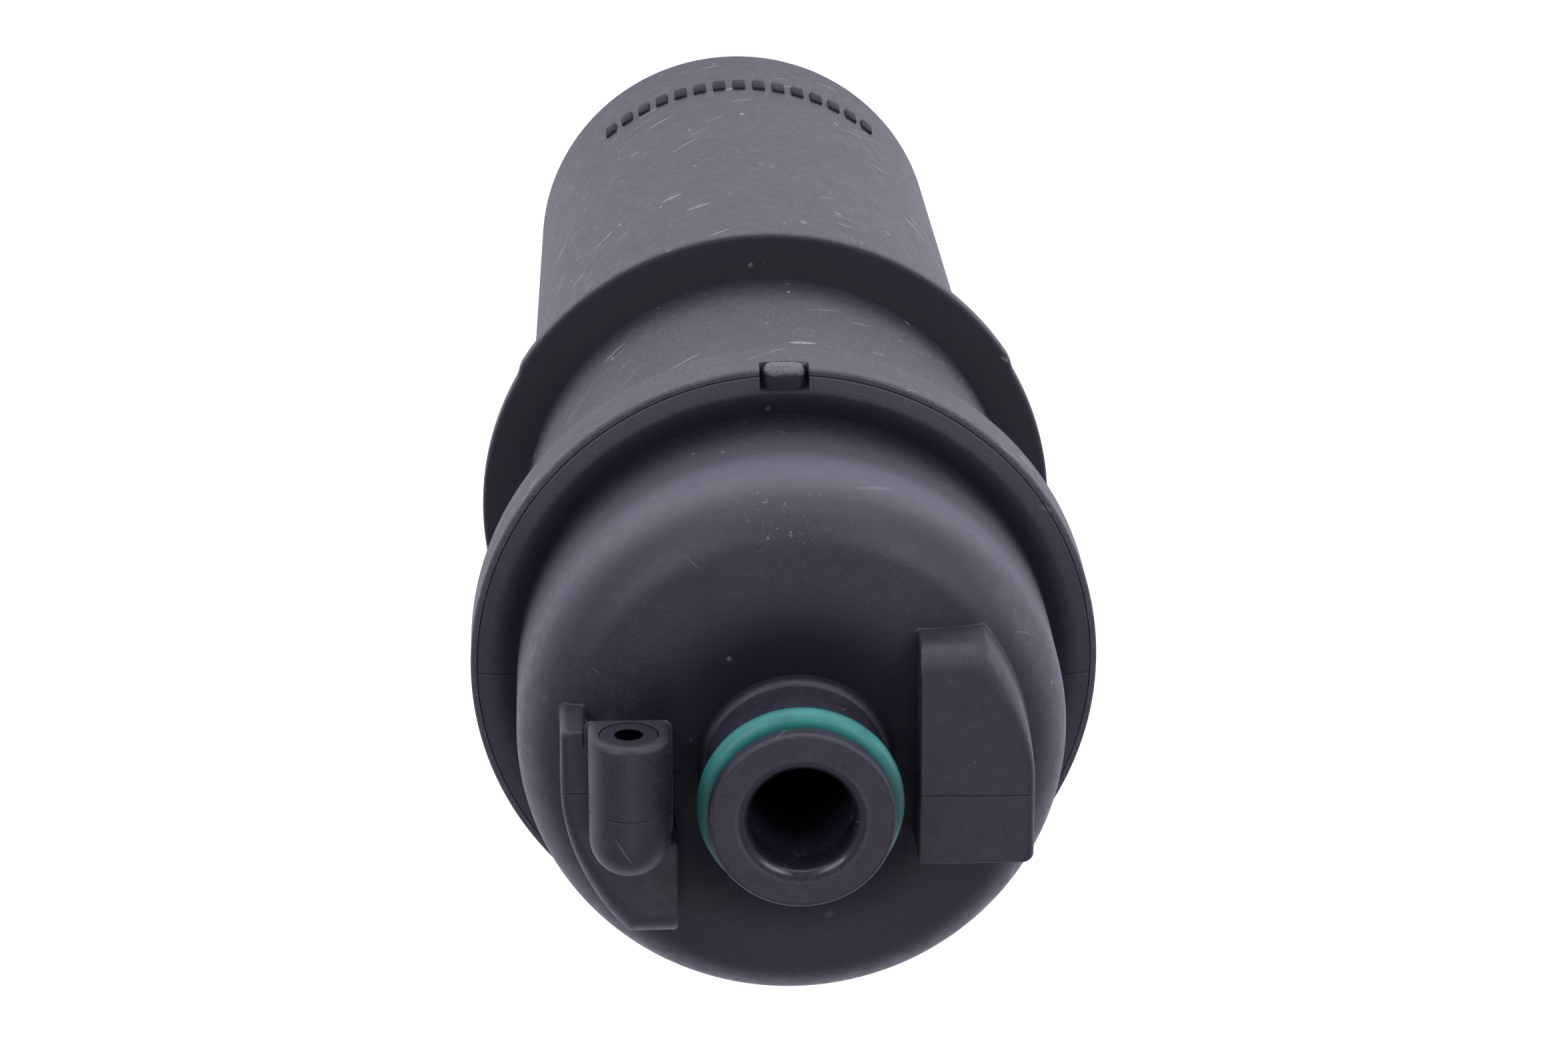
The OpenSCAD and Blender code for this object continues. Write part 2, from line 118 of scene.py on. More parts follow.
class FILTER_PG_canister(bpy.types.PropertyGroup):
    """Sizes of the tapered canister with its disc and rim collar"""
    foot_r: length("Foot radius", 22.4 * MM, "Radius at the closed far end")
    mid_r: length("Mid radius", 24.3 * MM, "Radius where the can meets the disc")
    top_r: length("Top radius", 24.7 * MM, "Radius where the can meets the collar")
    wall: length("Wall", 1.8 * MM, "Wall thickness")
    floor: length("Floor", 2.2 * MM, "Thickness of the far end")
    disc_z: length("Disc height", 89.3 * MM, "Height of the disc's front face")
    disc_t: length("Disc thickness", 2 * MM, "Thickness of the disc")
    disc_r: length("Disc radius", 28.65 * MM, "Radius of the disc")
    disc_step: length("Disc step", 0.35 * MM, "How far the disc's upper sector stands out")
    disc_step_angle: angle("Disc step angle", 59, "Half angle of the upper sector")
    collar_z: length("Collar height", 125 * MM, "Height of the collar's back edge")
    collar_wall: length("Collar wall", 0.6 * MM, "Thickness of the collar's lip")
    lip_drop: length("Lip drop", 0.6 * MM, "How far the lip stops below the rim")
    ledge_z: length("Ledge height", 126.8 * MM, "Height of the ledge that the cap stands on")
    port_r: length("Port radius", 7 * MM, "Radius of the inlet port")
    port_wall: length("Port wall", 2 * MM, "Wall of the inlet port")
    port_top: length("Port height", 9 * MM, "Height of the inlet port's inner end")
    notch_w: length("Notch width", 4.6 * MM, "Width of the notch in the rim")
    notch_depth: length("Notch depth", 2.4 * MM, "Depth of the notch along the axis")
    notch_r: length("Notch radius", 27.4 * MM, "Radius at which the notch ends")
    mark_count: count("Marks", 15, "Number of raised marks")
    mark_pitch: angle("Mark pitch", 5.6, "Angle between the marks")
    mark_z: length("Mark height", 14.9 * MM, "Height of the marks' middle")


class FILTER_PG_cap(bpy.types.PropertyGroup):
    """Sizes of the domed cap and its nozzle"""
    rim_z: length("Rim height", 132 * MM, "Height of the rim's front face")
    rim_gap: length("Rim gap", 0.05 * MM, "Gap between the cap's rim and the collar")
    rim_reach: length("Rim rounding reach", 1.5 * MM, "How far the rim's rounding reaches across its face")
    rim_edge: length("Rim edge", 0.22 * MM, "Small rounding at the rim's outer edge")
    dome_r: length("Dome radius", 25.1 * MM, "Radius of the dome")
    dome_fillet: length("Dome fillet", 0.04 * MM, "Fillet between rim and dome")
    shoulder_z: length("Shoulder height", 146.4 * MM, "Height at which the dome rounds over")
    crown_r: length("Crown radius", 20.5 * MM, "Where the dome's crown meets its shoulder")
    crown_fall: length("Crown fall", 1.65 * MM, "How far the crown has fallen there")
    dome_z: length("Dome height", 155.6 * MM, "Height of the dome's crown at the nozzle")
    wall: length("Wall", 2.2 * MM, "Wall thickness")
    neck_collar_r: length("Neck collar radius", 8.9 * MM, "Radius of the collar at the nozzle's foot")
    neck_collar_z: length("Neck collar height", 157 * MM, "Height at which that collar has rounded away")
    neck_collar_round: length("Neck collar rounding", 0.9 * MM, "Height of the collar's rounded edge")
    nozzle_r: length("Nozzle radius", 8.3 * MM, "Outer radius of the nozzle")
    bore_r: length("Bore radius", 4.69 * MM, "Radius of the nozzle's bore")
    bore_round: length("Bore rounding", 1.2 * MM, "Rounding of the bore's mouth")
    groove_low: length("Groove start", 162.6 * MM, "Height of the O-ring groove's back wall")
    groove_high: length("Groove end", 166 * MM, "Height of the O-ring groove's front wall")
    spigot_r: length("Spigot radius", 6.4 * MM, "Radius of the spigot inside the cap")
    spigot_z: length("Spigot height", 123 * MM, "Height of the spigot's end")
    skirt_z: length("Skirt height", 121 * MM, "Height of the skirt's end")
    skirt_wall: length("Skirt wall", 1.6 * MM, "Wall of the skirt")
    tab_w: length("Tab width", 3.8 * MM, "Width of the key tab in the notch")


class FILTER_PG_lugs(bpy.types.PropertyGroup):
    """Sizes of the two lugs and the boss"""
    top_z: length("Lug height", 160.2 * MM, "Height of the lugs' front faces")
    outer_r: length("Outer radius", 21.15 * MM, "Radius of the lugs' round sides")
    inner_x: length("Inner side", 10.8 * MM, "Distance from the axis to the lugs' flat sides")
    flat_y: length("Flat end", 7.75 * MM, "Distance from the axis to the plain lug's flat end")
    rib_end: length("Rib end", 5.7 * MM, "Distance from the axis to the flat end of the boss lug's rib")
    pocket_y: length("Pocket", 4.2 * MM, "Where the pocket under the boss starts")
    plain_end: length("Plain lug end", 12.8 * MM, "Distance to the plain lug's rolled end")
    boss_end: length("Boss lug end", 14.6 * MM, "Distance to the boss lug's rolled end")
    end_round: length("End rounding", 2.6 * MM, "Rounding of a rolled end")
    side_round: length("Side rounding", 0.8 * MM, "Rounding of a lug's outer edge")
    crisp: length("Crisp edge", 0.22 * MM, "Rounding of the sharp edges")
    flare: length("Flare", 0.2 * MM, "Fillet between a lug and the dome")
    rib_w: length("Rib width", 2.2 * MM, "Width of the rib that runs past the pocket")
    boss_r: length("Boss radius", 3.6 * MM, "Radius of the boss")
    boss_flare: length("Boss flare", 0.3 * MM, "Fillet between the boss and its lug")
    relief_y: length("Relief", 5.3 * MM, "How far past the axis the plate is cut back flush with the boss")
    relief_x: length("Relief depth", 0.55 * MM, "How far the plate is cut back there")
    boss_foot: length("Boss foot", -3.05 * MM, "Where the boss's round end starts")
    hole_r: length("Hole radius", 1.2 * MM, "Radius of the hole in the insert")
    hole_depth: length("Hole depth", 7 * MM, "Depth of the hole in the insert")


class FILTER_PG_element(bpy.types.PropertyGroup):
    """Sizes of the filter element's pieces"""
    pleat_count: count("Pleats", 44, "Number of pleats")
    pleat_inner_r: length("Inner pleat radius", 12.2 * MM, "Radius of the inner folds")
    medium_t: length("Medium thickness", 0.5 * MM, "Thickness of the filter medium")
    coil_wire: length("Coil wire", 1.6 * MM, "Wire thickness of the element spring")
    coil_turns: number("Coil turns", 5, "Turns of the element spring")
    bypass_wire: length("Bypass wire", 0.9 * MM, "Wire thickness of the bypass valve's spring")
    bypass_turns: number("Bypass turns", 8, "Turns of the bypass valve's spring")


class FILTER_PG_finish(bpy.types.PropertyGroup):
    """Colours and wear of the finishes"""
    can: colour("Can", (0.030, 0.0285, 0.037), "Canister plastic")
    can_dust: colour("Can dust", (0.075, 0.072, 0.088), "Dry film on the canister")
    cap: colour("Cap", (0.0085, 0.0078, 0.0165), "Cap plastic")
    cap_dust_and_sheen: colour("Cap dust", (0.023, 0.0213, 0.040), "Dry film on the cap")
    ring: colour("O-ring", (0.017, 0.185, 0.165), "Green rubber")
    tab: colour("Worn tab", (0.11, 0.108, 0.11), "The rubbed face of the key tab")
    scuff: colour("Scuff", (0.25, 0.25, 0.265), "Pale scuffs and rubbed places")
    cap_scuff: colour("Cap scuff", (0.10, 0.098, 0.115), "Scuffs on the cap")


class FILTER_PG_stage(bpy.types.PropertyGroup):
    """Floor, lights and camera"""
    floor: colour("Floor", (0.25, 0.25, 0.25), "Colour of the floor")
    floor_glow: factor("Floor glow", 1.08, "Light that comes through the floor, as on a light table", top=4.0)
    tint: colour("Light tint", (0.95, 0.93, 1.09), "Tint of the room's light and of the floor's glow")
    room: factor("Room light", 0.42, "Strength of the even light from the room", top=4.0)
    lens: number("Lens", 122.45, "Focal length in millimetres")
    camera_at: point("Camera", (-0.0205, 0.1908, 0.5947), "Place of the camera")
    camera_aim: point("Aim", (-0.00006, 0.01453, 0.132), "Point the camera looks at")
    top_power: power("Top light", 2.0, "Power of the low wide light on the +Y side")
    box_power: power("Soft boxes", 3.0, "Power of each of the two soft boxes")
    low_power: power("Low light", 0.7, "Power of the small light low on the +X side")
    front_power: power("Front light", 1.0, "Power of the light behind the camera")


GROUPS = {
    "filter_canister": FILTER_PG_canister,
    "filter_cap": FILTER_PG_cap,
    "filter_lugs": FILTER_PG_lugs,
    "filter_element": FILTER_PG_element,
    "filter_finish": FILTER_PG_finish,
    "filter_stage": FILTER_PG_stage,
}

# ---------------------------------------------------------------- outlines

# How far past a rounding its supporting point lies, as a share of the rounding's reach
SUPPORT = 1.02


def unit(v):
    return v / (np.linalg.norm(v) + 1e-12)


def round_corners(corners, steps=6):
    """Points of a closed outline. Each corner is (x, y) or (x, y, radius), and a radius above 0 rounds it.

    A point just outside each rounding keeps the flat stretch beside it flat when it is shaded smooth.
    """
    points = []
    for i, corner in enumerate(corners):
        here = np.array(corner[:2], float)
        radius = corner[2] if len(corner) > 2 else 0
        if radius <= 0:
            points.append(here)
            continue
        before = np.array(corners[i - 1][:2], float) - here
        after = np.array(corners[(i + 1) % len(corners)][:2], float) - here
        a, b = unit(before), unit(after)
        half = math.acos(max(-1, min(1, float(a @ b)))) / 2
        reach = min(radius / math.tan(half), 0.48 * np.linalg.norm(before), 0.48 * np.linalg.norm(after))
        radius = reach * math.tan(half)
        centre = here + unit(a + b) * radius / math.sin(half)
        start, end = here + a * reach - centre, here + b * reach - centre
        turn = math.atan2(start[0] * end[1] - start[1] * end[0], start @ end)
        points.append(here + a * reach * SUPPORT)
        for k in range(steps + 1):
            t = turn * k / steps
            c, s = math.cos(t), math.sin(t)
            points.append(centre + np.array([c * start[0] - s * start[1], s * start[0] + c * start[1]]))
        points.append(here + b * reach * SUPPORT)
    return np.array(points)


def arc(centre, rx, ry, start, end, steps=12):
    """Points of an elliptical arc, with its angles in degrees"""
    turns = np.radians(np.linspace(start, end, steps + 1))
    return [(centre[0] + rx * math.cos(t), centre[1] + ry * math.sin(t)) for t in turns]


# ---------------------------------------------------------------- meshes


def make_object(name, points, faces, sharp=35):
    """Piece from points and faces, with doubled points merged and its faces turned outwards"""
    mesh = bpy.data.meshes.new(name)
    mesh.from_pydata([tuple(p) for p in points], [], faces)
    work = bmesh.new()
    work.from_mesh(mesh)
    bmesh.ops.remove_doubles(work, verts=work.verts, dist=1e-7)
    bmesh.ops.recalc_face_normals(work, faces=work.faces)
    work.to_mesh(mesh)
    work.free()
    piece = bpy.data.objects.new(name, mesh)
    bpy.context.scene.collection.objects.link(piece)
    shade(piece, sharp)
    return piece


def shade(piece, sharp=35):
    """Shades a piece smooth, but for edges sharper than an angle in degrees"""
    piece.data.shade_smooth()
    piece.data.set_sharp_from_angle(angle=math.radians(sharp))


def grid_faces(rows, columns, wrap_rows=False, wrap_columns=True):
    """Quads between neighbouring rows of points, each row holding the same number of points"""
    faces = []
    for i in range(rows if wrap_rows else rows - 1):
        for j in range(columns if wrap_columns else columns - 1):
            a, b = i * columns, ((i + 1) % rows) * columns
            k = (j + 1) % columns
            faces.append((a + j, a + k, b + k, b + j))
    return faces


def lathe(name, outline, segments=256, sharp=35):
    """Turns a closed outline of (radius, height) points round the axis"""
    outline = np.array(outline)
    turns = np.linspace(0, 2 * math.pi, segments, endpoint=False)
    points = [(r * math.cos(t), r * math.sin(t), z) for r, z in outline for t in turns]
    return make_object(name, points, grid_faces(len(outline), segments, wrap_rows=True), sharp)


def bake(piece):
    """Replaces a piece's mesh with its evaluated one, and drops its modifiers"""
    graph = bpy.context.evaluated_depsgraph_get()
    mesh = bpy.data.meshes.new_from_object(piece.evaluated_get(graph))
    piece.modifiers.clear()
    old, piece.data = piece.data, mesh
    mesh.name = piece.name
    bpy.data.meshes.remove(old)
    return piece


def cut(piece, cutter, sharp=35):
    """Cuts one closed piece out of another"""
    boolean = piece.modifiers.new("cut", "BOOLEAN")
    boolean.operation = "DIFFERENCE"
    boolean.solver = "EXACT"
    boolean.object = cutter
    bake(piece)
    bpy.data.objects.remove(cutter, do_unlink=True)
    shade(piece, sharp)
    return piece


def block(name, low, high, rounding, steps=4):
    """Box with its edges rounded"""
    work = bmesh.new()
    bmesh.ops.create_cube(work, size=1)
    middle, size = (Vector(low) + Vector(high)) / 2, Vector(high) - Vector(low)
    for v in work.verts:
        v.co = Vector(a * b for a, b in zip(v.co, size)) + middle
    bmesh.ops.bevel(work, geom=work.edges[:], offset=rounding, segments=steps, profile=0.5, affect="EDGES")
    mesh = bpy.data.meshes.new(name)
    work.to_mesh(mesh)
    work.free()
    piece = bpy.data.objects.new(name, mesh)
    bpy.context.scene.collection.objects.link(piece)
    shade(piece, 40)
    return piece


def cylinder_between(name, low, high, radius, segments=48):
    """Closed cylinder whose ends are centred on two points"""
    low, high = Vector(low), Vector(high)
    turn = (high - low).to_track_quat("Z", "Y")
    ring = [turn @ Vector((radius * math.cos(t), radius * math.sin(t), 0))
            for t in np.linspace(0, 2 * math.pi, segments, endpoint=False)]
    points = [low + p for p in ring] + [high + p for p in ring]
    faces = grid_faces(2, segments) + [tuple(range(segments)), tuple(range(segments, 2 * segments))]
    return make_object(name, points, faces)


def paint(piece, material):
    piece.data.materials.clear()
    piece.data.materials.append(material)


def finish_piece(piece, slot, node, material=None):
    """Gives a piece of the fixed body its material, and puts it in its node's place"""
    paint(piece, material or finish(slot))
    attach(piece, BODY)
    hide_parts(node)


# ---------------------------------------------------------------- materials


class Shader:
    """Short way to add nodes to a node tree and join them"""

    def __init__(self, tree):
        self.tree = tree

    def join(self, value, socket):
        """Link what another node gives, or set a plain value"""
        if isinstance(value, bpy.types.NodeSocket):
            self.tree.links.new(value, socket)
        else:
            socket.default_value = value

    def add(self, kind, *inputs, out=0, named=None, **settings):
        node = self.tree.nodes.new(kind)
        for key, value in settings.items():
            setattr(node, key, value)
        for key, value in (*enumerate(inputs), *(named or {}).items()):
            self.join(value, node.inputs[key])
        return node.outputs[out]

    def math(self, operation, a, b=0.0):
        return self.add("ShaderNodeMath", a, b, operation=operation)

    def plus(self, a, b):
        return self.math("ADD", a, b)

    def less(self, a, b):
        return self.math("SUBTRACT", a, b)

    def times(self, a, b):
        return self.math("MULTIPLY", a, b)

    def over(self, a, b):
        return self.math("DIVIDE", a, b)

    def most(self, a, b):
        return self.math("MAXIMUM", a, b)

    def band(self, value, low, high, to_low=0.0, to_high=1.0):
        """Smooth step of a value from low to high"""
        return self.add(
            "ShaderNodeMapRange", value, low, high, to_low, to_high, interpolation_type="SMOOTHSTEP")

    def window(self, value, low, high, soft):
        """One between two values, falling to nothing over a short distance outside them"""
        return self.times(self.band(value, low - soft, low), self.band(value, high + soft, high))

    def noise(self, place, scale, detail=4.0, roughness=0.55, distortion=0.0):
        return self.add("ShaderNodeTexNoise", named={
            "Vector": place, "Scale": scale, "Detail": detail, "Roughness": roughness,
            "Distortion": distortion})

    def stretch(self, place, scale):
        return self.add("ShaderNodeMapping", place, named={"Scale": scale})

    def mix(self, amount, a, b):
        """Colour part way from one colour to another"""
        a, b = (c if isinstance(c, bpy.types.NodeSocket) else (*c, 1) for c in (a, b))
        return self.add("ShaderNodeMix", amount, named={6: a, 7: b}, out=2, data_type="RGBA")

    def axis_parts(self, place):
        """X, Y and Z of a place as three values"""
        return self.add("ShaderNodeSeparateXYZ", place).node.outputs

    def off_axis(self, x, y):
        """Distance from the axis"""
        return self.math("SQRT", self.plus(self.times(x, x), self.times(y, y)))


class Look(Shader):
    """Nodes of a new material, with its surface and the place of each point of the piece"""

    sockets = {"tone": "Base Color", "rough": "Roughness", "shine": "Specular IOR Level", "metal": "Metallic",
               "glow": "Emission Strength", "glow_tone": "Emission Color"}

    def __init__(self, name, base):
        self.material = bpy.data.materials.new(name)
        self.material.use_nodes = True
        self.material.diffuse_color = (*base, 1)
        super().__init__(self.material.node_tree)
        self.tree.nodes.clear()
        output = self.tree.nodes.new("ShaderNodeOutputMaterial")
        self.surface = self.tree.nodes.new("ShaderNodeBsdfPrincipled")
        self.tree.links.new(self.surface.outputs[0], output.inputs[0])
        self.place = self.add("ShaderNodeTexCoord", out=3)

    def coat(self, bumps=None, **looks):
        """Set the surface's looks, and its bumps as (height, strength, distance)"""
        for look, value in looks.items():
            self.join(value, self.surface.inputs[self.sockets[look]])
        if bumps:
            height, strength, distance = bumps
            normal = self.add("ShaderNodeBump", named={
                "Strength": strength, "Distance": distance, "Height": height})
            self.join(normal, self.surface.inputs["Normal"])
        return self.material


def shaded(colour_now, share):
    """A darker colour of the same hue"""
    return tuple(share * c for c in colour_now)


# Layers of scuffs: turn, length and width of a cell that may hold one, and share of the cells that do
SCUFF_LAYERS = (
    (0.0, 20 * MM, 2.1 * MM, 0.26), (0.3, 28 * MM, 1.4 * MM, 0.16), (-0.25, 15 * MM, 4 * MM, 0.14),
    (1.5, 5 * MM, 3.5 * MM, 0.12), (0.9, 2.6 * MM, 2.2 * MM, 0.09))
SKIN_R = 24 * MM

# Where the plastic's looks change, each from the first distance or height to the second
# the next three bound the painted shade on the can's disc face and neck foot
FACE_SHADE_Z = (2 * MM, 1 * MM)
NECK_SHADE_Z = (9 * MM, 0)
DISC_EDGE = (-0.2 * MM, -0.1 * MM)
FAR_END_Z = (4 * MM, 34 * MM)
# the next six lines bound the cap's painted highlights (rim edge, +Y shoulder) and painted shade (crease at
# the dome's foot, crown round the nozzle's collar)
RIM_HIGHLIGHT_R, RIM_HIGHLIGHT_Z = (26.2 * MM, 28.4 * MM), (130 * MM, 133 * MM)
SHOULDER_HIGHLIGHT_R, SHOULDER_HIGHLIGHT_Z = (23.4 * MM, 24.7 * MM), (145 * MM, 148 * MM)
SHOULDER_SIDE_Y = (9 * MM, 23 * MM)
VALLEY_R, VALLEY_Z = (28.2 * MM, 25.6 * MM), (141 * MM, 133 * MM)
CROWN_SHADE_R, CROWN_SHADE_Z = (18 * MM, 11.5 * MM), (150 * MM, 152 * MM)
COLLAR_EDGE_R, COLLAR_EDGE_Z = (8.85 * MM, 9.0 * MM), (156.6 * MM, 156 * MM)
MOUTH_R, MOUTH_Z = (6.1 * MM, 5.7 * MM), (164 * MM, 165 * MM)
SPECK_X, SPECK_Y = (-3 * MM, 2 * MM, 2 * MM), (21 * MM, 24 * MM, 1.5 * MM)
LINE_LEAN_X, LINE_LEAN = (-20 * MM, 22 * MM), (0.1 * MM, 1.05 * MM)
LINE_WIDTH = (0.13 * MM, 0.05 * MM)
LINE_START_R = 10.4 * MM
TAB_WORN_Y = (29.1 * MM, 29.5 * MM)
# painted shade inside the insert's hole
HOLE_SHADE_R = (1.32 * MM, 1.24 * MM)
# painted shade on the O-ring's lower side
RING_SHADE_Y = (0.5 * MM, 6 * MM)

# dark tone of the painted shade on the can and the cap
PAINTED_SHADE_TONE = (0.008, 0.0075, 0.015)
# pale tone of the painted highlight on the dome's +Y shoulder
SHOULDER_HIGHLIGHT_TONE = (0.062, 0.059, 0.076)
LINE_TONE = (0.002, 0.002, 0.003)
HOLE_SHADE_TONE = (0.0015, 0.0015, 0.002)


def dashes(look, flat, heading, long, fine, share, start):
    """Short straight scuffs: long thin spots scattered one to a cell, in only a share of the cells"""
    turned = look.add("ShaderNodeMapping", flat, named={
        "Rotation": (0, 0, heading), "Location": (start, start, 0)})
    cells = look.stretch(turned, (1 / long, 1 / fine, 1))
    distance = look.add(
        "ShaderNodeTexVoronoi", named={"Vector": cells, "Scale": 1.0}, voronoi_dimensions="2D")
    chance, bright, size = look.axis_parts(distance.node.outputs["Color"])
    reach = look.plus(look.times(size, 0.09), 0.03)
    inside = look.band(look.over(distance, reach), 1.0, 0.55)
    kept = look.math("LESS_THAN", chance, share)
    ragged = look.band(look.noise(flat, 2600, detail=2), 0.34, 0.5, 0.25, 1.0)
    strength = look.times(look.times(inside, kept), ragged)
    return look.times(strength, look.plus(look.times(bright, 0.7), 0.3))


def scuffs(look, flat, heading, busy, start):
    """A few directions of scuffs laid over each other, with a scatter of specks"""
    marks = None
    for k, (turn, long, fine, share) in enumerate(SCUFF_LAYERS):
        line = dashes(look, flat, heading + turn, long, fine, share * busy, start + 0.31 * k)
        marks = line if marks is None else look.most(marks, line)
    return marks


def skin_and_face_scuffs(look, upright, busy):
    """Scuffs that follow the skin on the sides, and lie flat on the faces that look along the axis"""
    x, y, z = look.axis_parts(look.place)
    skin = look.add("ShaderNodeCombineXYZ", look.times(look.math("ARCTAN2", x, y), SKIN_R), z, 0.0)
    face = look.add("ShaderNodeCombineXYZ", x, y, 0.0)
    on_face = look.band(look.math("ABSOLUTE", upright), 0.55, 0.75)
    side = scuffs(look, skin, 0.45, busy, 0.0)
    front = scuffs(look, face, 0.7, 0.35 * busy, 3.7)
    return look.most(look.times(side, look.less(1.0, on_face)), look.times(front, on_face))


def moulded_plastic(name, base, dust, cover, marks_tone, busy=1.0, rough=0.5, part=""):
    """Glass-filled nylon: fine grain, a mottled coat of dust, scuffs and specks, its parting line, with
    painted shade on the can and painted shade and highlights on the cap
    """
    look = Look(name, base)
    clouds = look.noise(look.place, 85, detail=4, roughness=0.6)
    mottle = look.noise(look.place, 650, detail=5, roughness=0.7)
    grain = look.noise(look.place, 4200, detail=2, roughness=0.8)
    film_and_painted_light = look.times(look.band(clouds, 0.25, 0.75, 0.6, 1.0), look.band(mottle, 0.3, 0.7, 0.6, 1.0))
    film_and_painted_light = look.times(film_and_painted_light, look.band(grain, 0.36, 0.64, 0.1, 1.1))
    upright = look.axis_parts(look.add("ShaderNodeNewGeometry", out=1))[2]
    x, y, z = look.axis_parts(look.place)
    out = look.off_axis(x, y)
    painted_shade, lip = 0.0, 0.0
    if part == "can":
        # painted shade: the disc's front face and the neck's foot are darkened and hold less dust, and the
        # far end is a little darker
        painted_shade = can_painted_shade(look, upright, z)
        film_and_painted_light = look.times(film_and_painted_light, look.less(1.0, painted_shade))
        film_and_painted_light = look.times(film_and_painted_light, look.band(z, *FAR_END_Z, 0.6, 1.0))
    if part == "cap":
        film_and_painted_light, painted_shade, lip, shoulder = cap_wear_and_painted_light(look, film_and_painted_light, out, z)
    # on the cap this tone also paints the rim's and shoulder's highlights
    tone = look.mix(look.times(film_and_painted_light, cover), base, dust)
    if part:
        # painted shade darkens the places it covers towards a dark tone
        tone = look.mix(look.times(painted_shade, 0.6), tone, PAINTED_SHADE_TONE)
    if part == "cap":
        # painted highlight: the dome's shoulder is paler towards +Y, where the light falls
        rubbed = look.times(shoulder, look.band(y, *SHOULDER_SIDE_Y, 0.0, 0.8))
        tone = look.mix(rubbed, tone, SHOULDER_HIGHLIGHT_TONE)
    marks = skin_and_face_scuffs(look, upright, busy)
    if part == "cap":
        # a patch of specks on the dome's +Y shoulder, where it has rubbed in its crate
        patch = look.band(look.noise(look.place, 1500, detail=3, roughness=0.7), 0.62, 0.68)
        around = look.times(look.window(x, *SPECK_X), look.window(y, *SPECK_Y))
        marks = look.most(marks, look.times(patch, around))
    tone = look.mix(look.times(marks, 0.85), tone, marks_tone)
    height = look.plus(look.times(grain, 0.7), look.times(mottle, 0.6))
    height = look.less(height, look.times(marks, 0.6))
    if part == "cap":
        line = parting_line(look, x, y)
        tone = look.mix(look.times(line, 0.9), tone, LINE_TONE)
        height = look.less(height, look.times(line, 3.0))
    height = look.times(height, look.less(1.0, look.times(lip, 0.9)))
    dull = look.band(mottle, 0.25, 0.75, rough, rough + 0.14)
    # places under painted shade are matt as well as dark
    return look.coat(
        tone=tone, rough=look.less(dull, look.times(lip, 0.24)),
        shine=look.less(0.5, look.times(painted_shade, 0.36)), bumps=(height, 0.6, 0.05 * MM))


def can_painted_shade(look, upright, z):
    """Painted shade on the front faces at and below the disc, and on the neck just in front of the disc"""
    foot = bpy.context.scene.filter_canister.disc_z
    levels = [[foot + level for level in band] for band in (FACE_SHADE_Z, NECK_SHADE_Z, DISC_EDGE)]
    face = look.times(look.band(upright, 0.5, 0.8), look.band(z, *levels[0], 0.0, 0.72))
    neck = look.times(look.band(z, *levels[1]), look.band(z, *levels[2]))
    return look.most(face, look.times(neck, 0.75))


def cap_wear_and_painted_light(look, film_and_painted_light, out, z):
    """Where the cap gets painted highlights on its rim's edge and +Y shoulder, painted shade in the crease at
    the dome's foot and round the nozzle, and where its mouth is polished
    """
    rim = look.times(look.band(out, *RIM_HIGHLIGHT_R), look.window(z, *RIM_HIGHLIGHT_Z, 1 * MM))
    shoulder = look.times(look.band(out, *SHOULDER_HIGHLIGHT_R), look.window(z, *SHOULDER_HIGHLIGHT_Z, 4 * MM))
    # painted shade in the crease where the dome meets the rim's face
    valley_shade = look.times(look.band(out, *VALLEY_R), look.band(z, *VALLEY_Z))
    # painted shade on the crown round the nozzle's collar
    foot = look.times(look.band(out, *CROWN_SHADE_R), look.band(out, *COLLAR_EDGE_R))
    foot = look.times(foot, look.band(z, *COLLAR_EDGE_Z))
    painted_shade = look.most(valley_shade, look.times(foot, look.band(z, *CROWN_SHADE_Z)))
    film_and_painted_light = look.times(film_and_painted_light, look.less(1.0, painted_shade))
    # painted highlight on the rim's rounded outer edge
    film_and_painted_light = look.plus(film_and_painted_light, look.times(rim, 0.7))
    # painted highlight along the dome's shoulder
    film_and_painted_light = look.plus(film_and_painted_light, look.times(shoulder, 0.9))
    lip = look.times(look.band(out, *MOUTH_R), look.band(z, *MOUTH_Z))
    return film_and_painted_light, painted_shade, lip, shoulder


def parting_line(look, x, y):
    """Thin line where the two halves of the mould met, outside the nozzle"""
    wander = look.times(look.noise(look.place, 120, detail=2), 0.3 * MM)
    lean = look.band(x, *LINE_LEAN_X, *LINE_LEAN)
    off = look.math("ABSOLUTE", look.plus(look.plus(y, wander), lean))
    line = look.band(off, *LINE_WIDTH)
    return look.times(line, look.math("GREATER_THAN", look.off_axis(x, y), LINE_START_R))


def worn_tab(name, base, worn):
    """The cap's plastic, rubbed pale where the key tab stands out of the rim"""
    look = Look(name, base)
    patchy = look.noise(look.place, 900, detail=4)
    edge = look.plus(look.axis_parts(look.place)[1], look.times(patchy, 0.9 * MM))
    grain = look.noise(look.place, 3600, detail=3)
    pale = look.mix(look.band(grain, 0.3, 0.7), worn, shaded(worn, 0.6))
    return look.coat(
        tone=look.mix(look.band(edge, *TAB_WORN_Y), base, pale),
        rough=look.band(patchy, 0.3, 0.7, 0.5, 0.7), bumps=(look.plus(grain, patchy), 0.8, 0.08 * MM))


